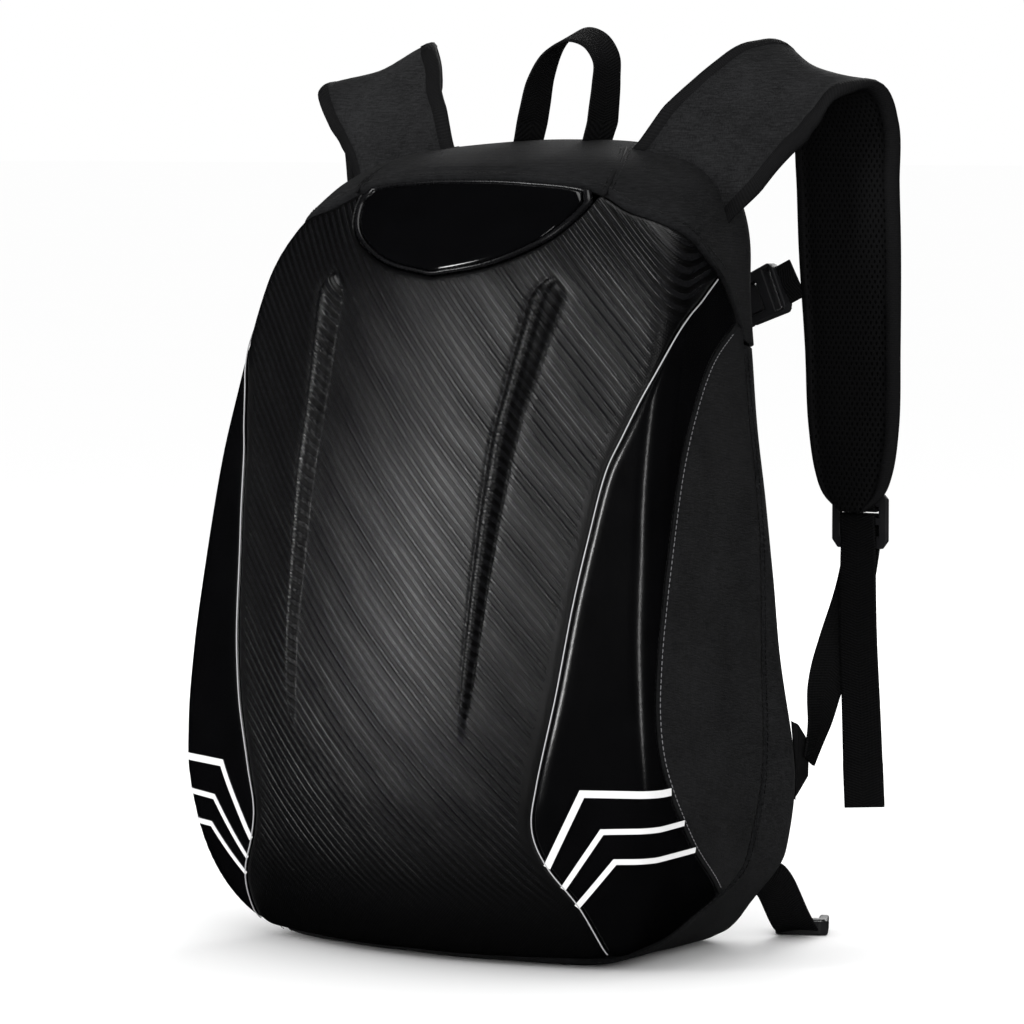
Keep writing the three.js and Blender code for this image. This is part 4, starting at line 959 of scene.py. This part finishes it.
def strap_section():
    """Across and height of one section, with its zone: 0 cover, 1 lining, 2 binding."""
    body = lambda v: 0.36 + 0.64 * (1 - np.abs(v) ** 3.5)
    a = np.linspace(-STRAP_EDGE, STRAP_EDGE, 15)
    lip = [(v, body(v) + 0.1) for v in (0.8, 0.9)]
    rim = [*((v, -h) for v, h in lip), (0.97, -0.42), (1.0, -0.2), (1.0, 0.2), (0.97, 0.42), *lip[::-1]]
    rows = [(v, -body(v), 0) for v in a]
    rows += [(v, h, 2) for v, h in rim]
    rows += [(v, body(v), 1) for v in a[::-1]]
    return rows + [(-v, -h, 2) for v, h in rim]


def shoulder_straps():
    inner, outer = (place(STRAP[k + "x"], STRAP[k + "y"], STRAP[k + "z"]) for k in "io")
    wide = outer - inner
    half, bow = np.linalg.norm(wide, axis=1)[:, None] / 2, STRAP["bow"][:, None]
    rows = np.hstack([(inner + outer) / 2, unit(wide), half, STRAP_THICK / 2 * STRAP["thick"][:, None], bow])
    dense = by_length(cat_rom(rows, 16), STRAP_COUNT)
    at, wide, half, thick, bow = dense[:, :3], unit(dense[:, 3:6]), dense[:, 6], dense[:, 7], dense[:, 8]
    a, b, zone = np.array(strap_section()).T
    rings, grain = strip(at, wide, half, thick, np.stack([a, b], 1))
    along, _, up = frames(at, wide)
    rings += along[:, None] * (bow[:, None] * (1 - a * a))[..., None]
    normal = np.sign(b)[None, :, None] * up[:, None]
    soft = (np.abs(a) < 0.8)[None, :] * smooth(np.arange(len(at)), 6, 20)[:, None]
    rings += normal * (0.45 * ripple(rings, 38, 5) * soft)[..., None]
    points, faces = ring_loft(settle(rings, 0.8, 0.05))
    zones = [int(zone[f[0] % len(a)]) if len(f) == 4 else 2 for f in faces]
    cloths = [STRAP_CLOTH, LINING, BINDING]
    for pad in pair("strap_pad", points, faces, cloths, "strap_fabric", "shoulder_strap",
                    grain=with_ends(grain), zones=zones):
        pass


def flat_turn(degrees):
    a = np.radians(degrees)
    return np.stack([np.cos(a), np.sin(a), np.zeros_like(a)], -1)


def rows_of(rows):
    return np.hstack([spot(rows), flat_turn(rows["turn"])])


ACROSS = np.array([1.0, 0, 0])
UPWARDS = np.array([0, 0, 1.0])


def adjuster_webs():
    """One webbing: up from the corner tab, over the bar of the lock and down as a tail with a folded hem."""
    half = WEB_THICK / 2
    lock = spot(LOCK)
    ring = LOCK["thick"] / 2 + 0.55 + half
    bar = LOCK["bar"] / 2 + 1.0 + half
    low = np.vstack([rows_of(ADJUSTER_LOW), np.hstack([lock + [0, ring + 0.4, -12], ACROSS])])
    turn = np.linspace(0, math.pi, 13)
    square = lambda v: np.sign(v) * np.abs(v) ** 0.5
    over = lock + np.stack([np.zeros(13), ring * square(np.cos(turn)), bar * square(np.sin(turn))], 1)
    front = np.hstack([lock + [1, -ring - 0.6, -12], ACROSS])
    down = cat_rom(np.vstack([front, rows_of(TAIL)]), 14)
    open_rows = np.vstack([cat_rom(low, 14), np.hstack([over, np.tile(ACROSS, (13, 1))]), down])
    end = down[-1]
    drop = TAIL_END_Z * BODY_HEIGHT
    share = np.linspace(0.02, 1, 14)
    hem = np.array([[end[0] + 1.5 * t, end[1], drop + HEM * (1 - t), *end[3:]] for t in share])
    rows = np.vstack([open_rows, hem])
    thick = np.where(np.arange(len(rows)) < len(open_rows), half, 3 * half)
    thick[[len(open_rows), -1]] = 1.6 * half, 2.4 * half
    strip_piece(pair, "adjuster_webbing", *strip(rows[:, :3], rows[:, 3:], thick=thick), "adjuster_web")


def lock_loops():
    """Short webbing from inside the strap end, through the upper slot of the lock and up behind its bar."""
    behind = [(-6.3, 19), (-3.8, 12), (-2.4, 7.6), (0, 6.5), (2.7, 8), (3.2, 13), (2.9, 18)]
    at = by_length(cat_rom(spot(LOCK) + [(0, y, z) for y, z in behind], 12), 44)
    strip_piece(pair, "lock_loop", *strip(at, ACROSS))


def anchor_tabs():
    base = place(TAB["x"], -5, (TAB["low"] + TAB["high"]) / 2)
    half = (TAB["high"] - TAB["low"]) * BODY_HEIGHT / 2
    tip = np.array([base[0] - 8, BACK_Y + TAB["reach"], TAB["tip_z"] * BODY_HEIGHT])
    t = np.linspace(0, 1, 22)
    halves = half + (TAB["tip_half"] - half) * t
    rings, grain = strip(base + (tip - base) * t[:, None], UPWARDS, halves, TAB["thick"] / 2)
    strip_piece(pair, "corner_tab", settle(rings, 0.9, 0.2), grain, "anchor_tab", BINDING, "fabric")


def chest_webs():
    """The fastened chest strap: a short end on the right and a long sagging one on the left."""
    right = spot(CHEST_BUCKLE)
    left = place(CHEST_BUCKLE["left"], CHEST_BUCKLE["back"], CHEST_BUCKLE["z"] - CHEST_BUCKLE["drop"])
    along = unit(left - right)
    anchor = spot(CHEST)
    left = right + along * (CHEST_BUCKLE["long"] + CHEST_BUCKLE["male"] + 0.7)
    ends = (
        ("right", anchor, right - 0.35 * along, 0.0, 12),
        ("left", anchor * FLIP, left, CHEST["sag"] * BODY_HEIGHT / 2, 60),
    )
    for side, start, end, sag, count in ends:
        t = np.linspace(0, 1, count)
        at = start + (end - start) * t[:, None]
        at[:, 2] -= sag * 4 * t * (1 - t)
        strip_piece(single, "chest_webbing_" + side, *strip(at, UPWARDS), "sternum_web_" + side)


def waist_webs():
    """Webbing that leaves the corner on edge and turns flat onto the floor."""
    start = spot(WAIST)
    end = np.array([WAIST["end_x"] * HALF_WIDTH, BACK_Y + WAIST["end_back"], WAIST["end_z"]])
    wide_start, wide_end = np.array([0.47, 0.34, 0.81]), np.array([0.88, 0.47, 0])
    end = end - 0.35 * unit(np.array([-wide_end[1], wide_end[0], 0]))
    t = np.linspace(0, 1, 40)
    at = start + (end - start) * t[:, None]
    at[:, 2] = start[2] + (end[2] - start[2]) * np.sin(math.pi / 2 * t) ** 2
    rings, grain = strip(at, unit(wide_start + (wide_end - wide_start) * t[:, None]))
    strip_piece(pair, "waist_webbing", settle(rings, 0.2, 0.1), grain, "waist_web")


def grab_handle(count=110):
    rows = place(HANDLE["x"], np.full(len(HANDLE["x"]), HANDLE_BACK), 1 + HANDLE["z"])
    at = by_length(cat_rom(rows, 30), count)
    lean = np.sin(math.pi * np.linspace(0, 1, count)) ** 2
    wide = unit(np.stack([0.25 * (1 - lean), np.full(count, 0.95), 0.34 * lean], 1))
    rings, grain = strip(at, wide)
    rings = settle(rings, 0.3, 0.05)
    rings = settle(rings[::-1], 0.3, 0.05)[::-1]
    strip_piece(single, "carry_loop", rings, grain, "grab_handle")


# Moulded fittings: each CAD node's scene name and edge radius
FITTINGS = {
    "ladder_lock_left": ("strap_adjuster_left", 0.8),
    "ladder_lock_right": ("strap_adjuster_right", 0.8),
    "sternum_buckle_female": ("chest_clip_socket", 1.2),
    "sternum_buckle_male": ("chest_clip_prongs", 1.2),
    "waist_buckle_female": ("waist_clip_socket", 1.2),
    "waist_buckle_male": ("waist_clip_prongs", 1.2),
}


def modify(obj, kind, **settings):
    modifier = obj.modifiers.new(kind.lower(), kind)
    for key, value in settings.items():
        setattr(modifier, key, value)


def fitting(node, name, radius):
    """A moulded part from its CAD node, with rounded edges."""
    mesh = NODES[node].data.copy()
    mesh.materials.clear()
    mesh.materials.append(PLASTIC)
    mesh.shade_smooth()
    obj = link(name, mesh)
    modify(obj, "WELD", merge_threshold=0.02 * MM)
    modify(obj, "DECIMATE", decimate_type="DISSOLVE", angle_limit=math.radians(2))
    modify(obj, "BEVEL", width=radius * MM, segments=3, limit_method="ANGLE", angle_limit=math.radians(30),
           harden_normals=True)
    own(obj, "buckle", node)


# Padded back
def relief(a, t):
    edge = np.clip((1 - np.abs(a)) / 0.18, 0, 1) * np.clip(np.minimum(t, 1 - t) / 0.06, 0, 1)
    channel = np.clip((np.abs(a) - 0.08) / 0.14, 0, 1)
    return PAD_RELIEF * np.sin(math.pi / 2 * edge) * (0.25 + 0.75 * np.sin(math.pi / 2 * channel))


def back_panel():
    t, a = np.linspace(0, 1, 110)[:, None], np.linspace(-1, 1, 91)
    z = BACK_LOW + 2.7 + (BACK_HIGH - BACK_LOW - 3.6) * t
    x, y, z = np.broadcast_arrays((back_half(z[:, 0]) - 1.8)[:, None] * a, BACK_Y, z)
    grid = np.stack([x, y, z], -1)
    loft = wall(grid + [0, 1, 0] * relief(a, t)[..., None], grid - [0, FABRIC_WALL, 0])
    grain = np.tile(flat(np.stack([x, z, np.zeros(x.shape)], -1)), (2, 1))
    obj = single("back_padding", *loft, BACK_MESH, "back_mesh", "back_panel", grain=grain)


# Trim
def circle(count):
    turn = np.linspace(0, 2 * math.pi, count, endpoint=False)[:, None]
    return np.cos(turn), np.sin(turn)


def tube(points, radius, sides=8):
    along = unit(np.gradient(points, axis=0))
    up = outward(points)
    side = unit(np.cross(along, up))
    up = np.cross(side, along)
    c, s = circle(sides)
    return points[:, None] + radius * (c * side[:, None] + s * up[:, None])


def seam_offset(p, shift):
    """A line beside a seam, on the skin."""
    along = unit(np.gradient(p, axis=0))
    return snap(p + np.cross(along, outward(p)) * shift)


# Stitch: share of its length and of its radius, from end to end
STITCH = np.array([(0, 0.35), (0.12, 0.8), (0.3, 1), (0.7, 1), (0.88, 0.8), (1, 0.35)])
FINE = {"pitch": 3.6, "long": 2.6, "radius": 0.3}
COARSE = {"pitch": 4.2, "long": 3.0, "radius": 0.36}


def stitches(points, size, lift):
    """Points and faces of separate stitches along a line on the skin."""
    radius = size["radius"]
    run = run_of(points)
    starts = np.arange(size["pitch"], run[-1] - size["pitch"], size["pitch"])
    at = starts[:, None] + STITCH[:, 0] * size["long"]
    p = np.stack([np.interp(at, run, points[:, k]) for k in range(3)], -1)
    normal = outward(p)
    along = unit(p[:, -1] - p[:, 0])[:, None]
    side = unit(np.cross(np.broadcast_to(along, p.shape), normal))
    p = p + normal * (lift - 0.4 * radius * (1 - STITCH[:, 1])[None])[..., None]
    c, s = circle(6)
    ring = c * side[:, :, None] + s * normal[:, :, None]
    rings = p[:, :, None] + ring * (radius * STITCH[:, 1])[None, :, None, None]
    lofts = [ring_loft(stitch) for stitch in rings]
    size = len(lofts[0][0])
    faces = [[v + k * size for v in face] for k, loft in enumerate(lofts) for face in loft[1]]
    return np.vstack([loft[0] for loft in lofts]), faces


def stripe_legs(corners, count=40):
    """The middle line of a bent stripe and its sideways direction, mitred at the bend."""
    a, b, c = corners
    w = np.linspace(0, 1, count)[:, None]
    first, last = snap(a + (b - a) * w), snap(b + (c - b) * w)
    normal = outward(first[-1:])[0]
    before, after = (np.cross(normal, unit(d)) for d in (first[-1] - first[-4], last[3] - last[0]))
    mitre = unit(before + after)
    mitre = mitre / np.dot(mitre, before)
    sides = []
    for leg, near in ((first, smooth(w, 0.8, 1)), (last, 1 - smooth(w, 0, 0.2))):
        side = unit(np.cross(outward(leg), unit(np.gradient(leg, axis=0))))
        sides.append(side * (1 - near) + mitre * near)
    return np.vstack([first, last[1:]]), np.vstack([sides[0], sides[1][1:]])


def chevrons():
    """Flat reflective stripes with a pointed bend, from seam to seam."""
    for n, width in enumerate(CHEVRONS["width"]):
        mid, side = stripe_legs([np.array([CHEVRONS[k + axis][n] for axis in "xyz"]) for k in "abc"])
        grid = snap(mid[:, None] + side[:, None] * (width / 2 * np.linspace(-1, 1, 5))[None, :, None])
        sheet = wall(raised(grid, 0.38), raised(grid, 0.06))
        pair(f"reflective_stripe_{n + 1}", *sheet, REFLECTIVE, "patent", sharp=40)


def seam_trims():
    """Piping on the front seam and stitches beside the other seams."""
    piping = raised(front_seam(np.linspace(0.012, 0.985, 420)), 0.25)
    pair("front_piping", *ring_loft(tube(piping, 0.42)), PIPING, "patent")
    rear = seam_offset(rear_seam(np.linspace(0.02, 0.985, 420)), -2.0)
    pair("rear_seam_stitches", *stitches(rear, FINE, 0.12), THREAD, "patent")
    band = band_seam(np.linspace(0.01, FRONT_SEAM_AT_BAND, 420))
    for k, shift in enumerate((2.6, -2.8)):
        pair(f"band_stitches_{k + 1}", *stitches(seam_offset(band, shift), FINE, 0.1), DARK_THREAD, "fabric")
    rim = seam_offset(two_sided(rim_curve, np.linspace(-0.985, 0.985, 500)), -6.0)
    single("hood_stitches", *stitches(rim, FINE, 1.4), DARK_THREAD, "fabric")


def hood_seams():
    """A corded seam over each shoulder of the hood, with a row of stitches on both sides."""
    top = place(0.37, -36, 0.996)
    start = rim_curve(BADGE_AT_RIM * 1.04)
    rows = snap(np.vstack([start, start * 0.62 + top * 0.38 + [3, 0, 4], top]))
    p = snap(by_length(cat_rom(rows, 20), 90))
    points, faces = ring_loft(tube(raised(p, 0.9), 1.0))
    pair("hood_seam_cord", points, faces, BINDING, "fabric", grain=np.zeros((len(points), 3)))
    for k, shift in enumerate((2.8, -2.8)):
        row = stitches(seam_offset(p, shift), COARSE, 1.5)
        pair(f"hood_seam_stitches_{k + 1}", *row, DARK_THREAD, "fabric")
# Lights and camera: each light's size, direction from the bag, distance and power
LIGHTS = {
    "key_panel": ((0.3, 1.7), (-0.4, -0.9, 0.24), 2.6, 29),
    "top_panel": ((1.6, 1.0), (0.1, 0.25, 1.0), 2.2, 8),
    "rib_panel": ((0.14, 1.7), (0.7, -0.72, 0.2), 2.6, 7),
    "back_panel_light": ((1.4, 1.4), (-0.35, 1.0, 0.45), 2.8, 30),
}
LIGHT_TARGET = Vector((0, 0, 0.3))
FLOOR_HALF = 60.0
CAMERA_TURN = math.radians(36)
CAMERA_RISE = math.radians(4)
CAMERA_FAR = 3.377
CAMERA_ASIDE = 0.0195
CAMERA_HEIGHT = 0.267
SENSOR_WIDTH = 36
FOCAL_PIXELS = 5500
IMAGE_PIXELS = 1024


def aim(obj, target, away, distance):
    """Puts a light or camera at that distance from its target, looking back at it."""
    obj.location = target + away * distance
    obj.rotation_mode = "QUATERNION"
    obj.rotation_quaternion = away.to_track_quat("Z", "Y")


def area_light(name, size, direction, distance, power):
    data = bpy.data.lights.new(name, "AREA")
    data.shape = "RECTANGLE"
    data.size, data.size_y = size
    data.energy = power
    obj = link(name, data)
    aim(obj, LIGHT_TARGET, Vector(direction).normalized(), distance)
    obj.visible_camera = False


def floor():
    mesh = bpy.data.meshes.new("floor")
    corners = [(x * FLOOR_HALF, y * FLOOR_HALF, 0) for x, y in ((-1, -1), (1, -1), (1, 1), (-1, 1))]
    mesh.from_pydata(corners, [], [(0, 1, 2, 3)])
    s = Shade("floor_paint", 0.0)
    s.set(Base_Color=s.mix(s.noise(0.001, 1), (0.982, 0.982, 0.982), (0.988, 0.988, 0.988)), Roughness=0.9)
    mesh.materials.append(s.material)
    obj = link("floor", mesh)
    obj.visible_glossy = False


def studio():
    floor()
    world = bpy.data.worlds.new("studio")
    world.use_nodes = True
    sky = world.node_tree.nodes["Background"].inputs
    sky["Color"].default_value = (1, 1, 1, 1)
    sky["Strength"].default_value = 1.0
    bpy.context.scene.world = world
    world.cycles_visibility.glossy = False
    for name, row in LIGHTS.items():
        area_light(name, *row)


def camera():
    a, e = CAMERA_TURN, CAMERA_RISE
    right = Vector((math.cos(a), math.sin(a), 0))
    away = Vector((math.sin(a) * math.cos(e), -math.cos(a) * math.cos(e), math.sin(e)))
    data = bpy.data.cameras.new("camera")
    data.sensor_width = SENSOR_WIDTH
    data.lens = FOCAL_PIXELS / IMAGE_PIXELS * SENSOR_WIDTH
    obj = link("camera", data)
    aim(obj, right * CAMERA_ASIDE + Vector((0, 0, CAMERA_HEIGHT)), away, CAMERA_FAR)
    bpy.context.scene.camera = obj


carbon_shell()
gloss_panels()
side_panels()
gusset()
hood()
badge()
shoulder_straps()
adjuster_webs()
lock_loops()
anchor_tabs()
chest_webs()
waist_webs()
grab_handle()
for cad_node, (piece, edge_radius) in FITTINGS.items():
    fitting(cad_node, piece, edge_radius)
back_panel()
chevrons()
seam_trims()
hood_seams()
studio()
camera()
bpy.context.scene.view_settings.view_transform = "Standard"

bpy.context.view_layer.update()
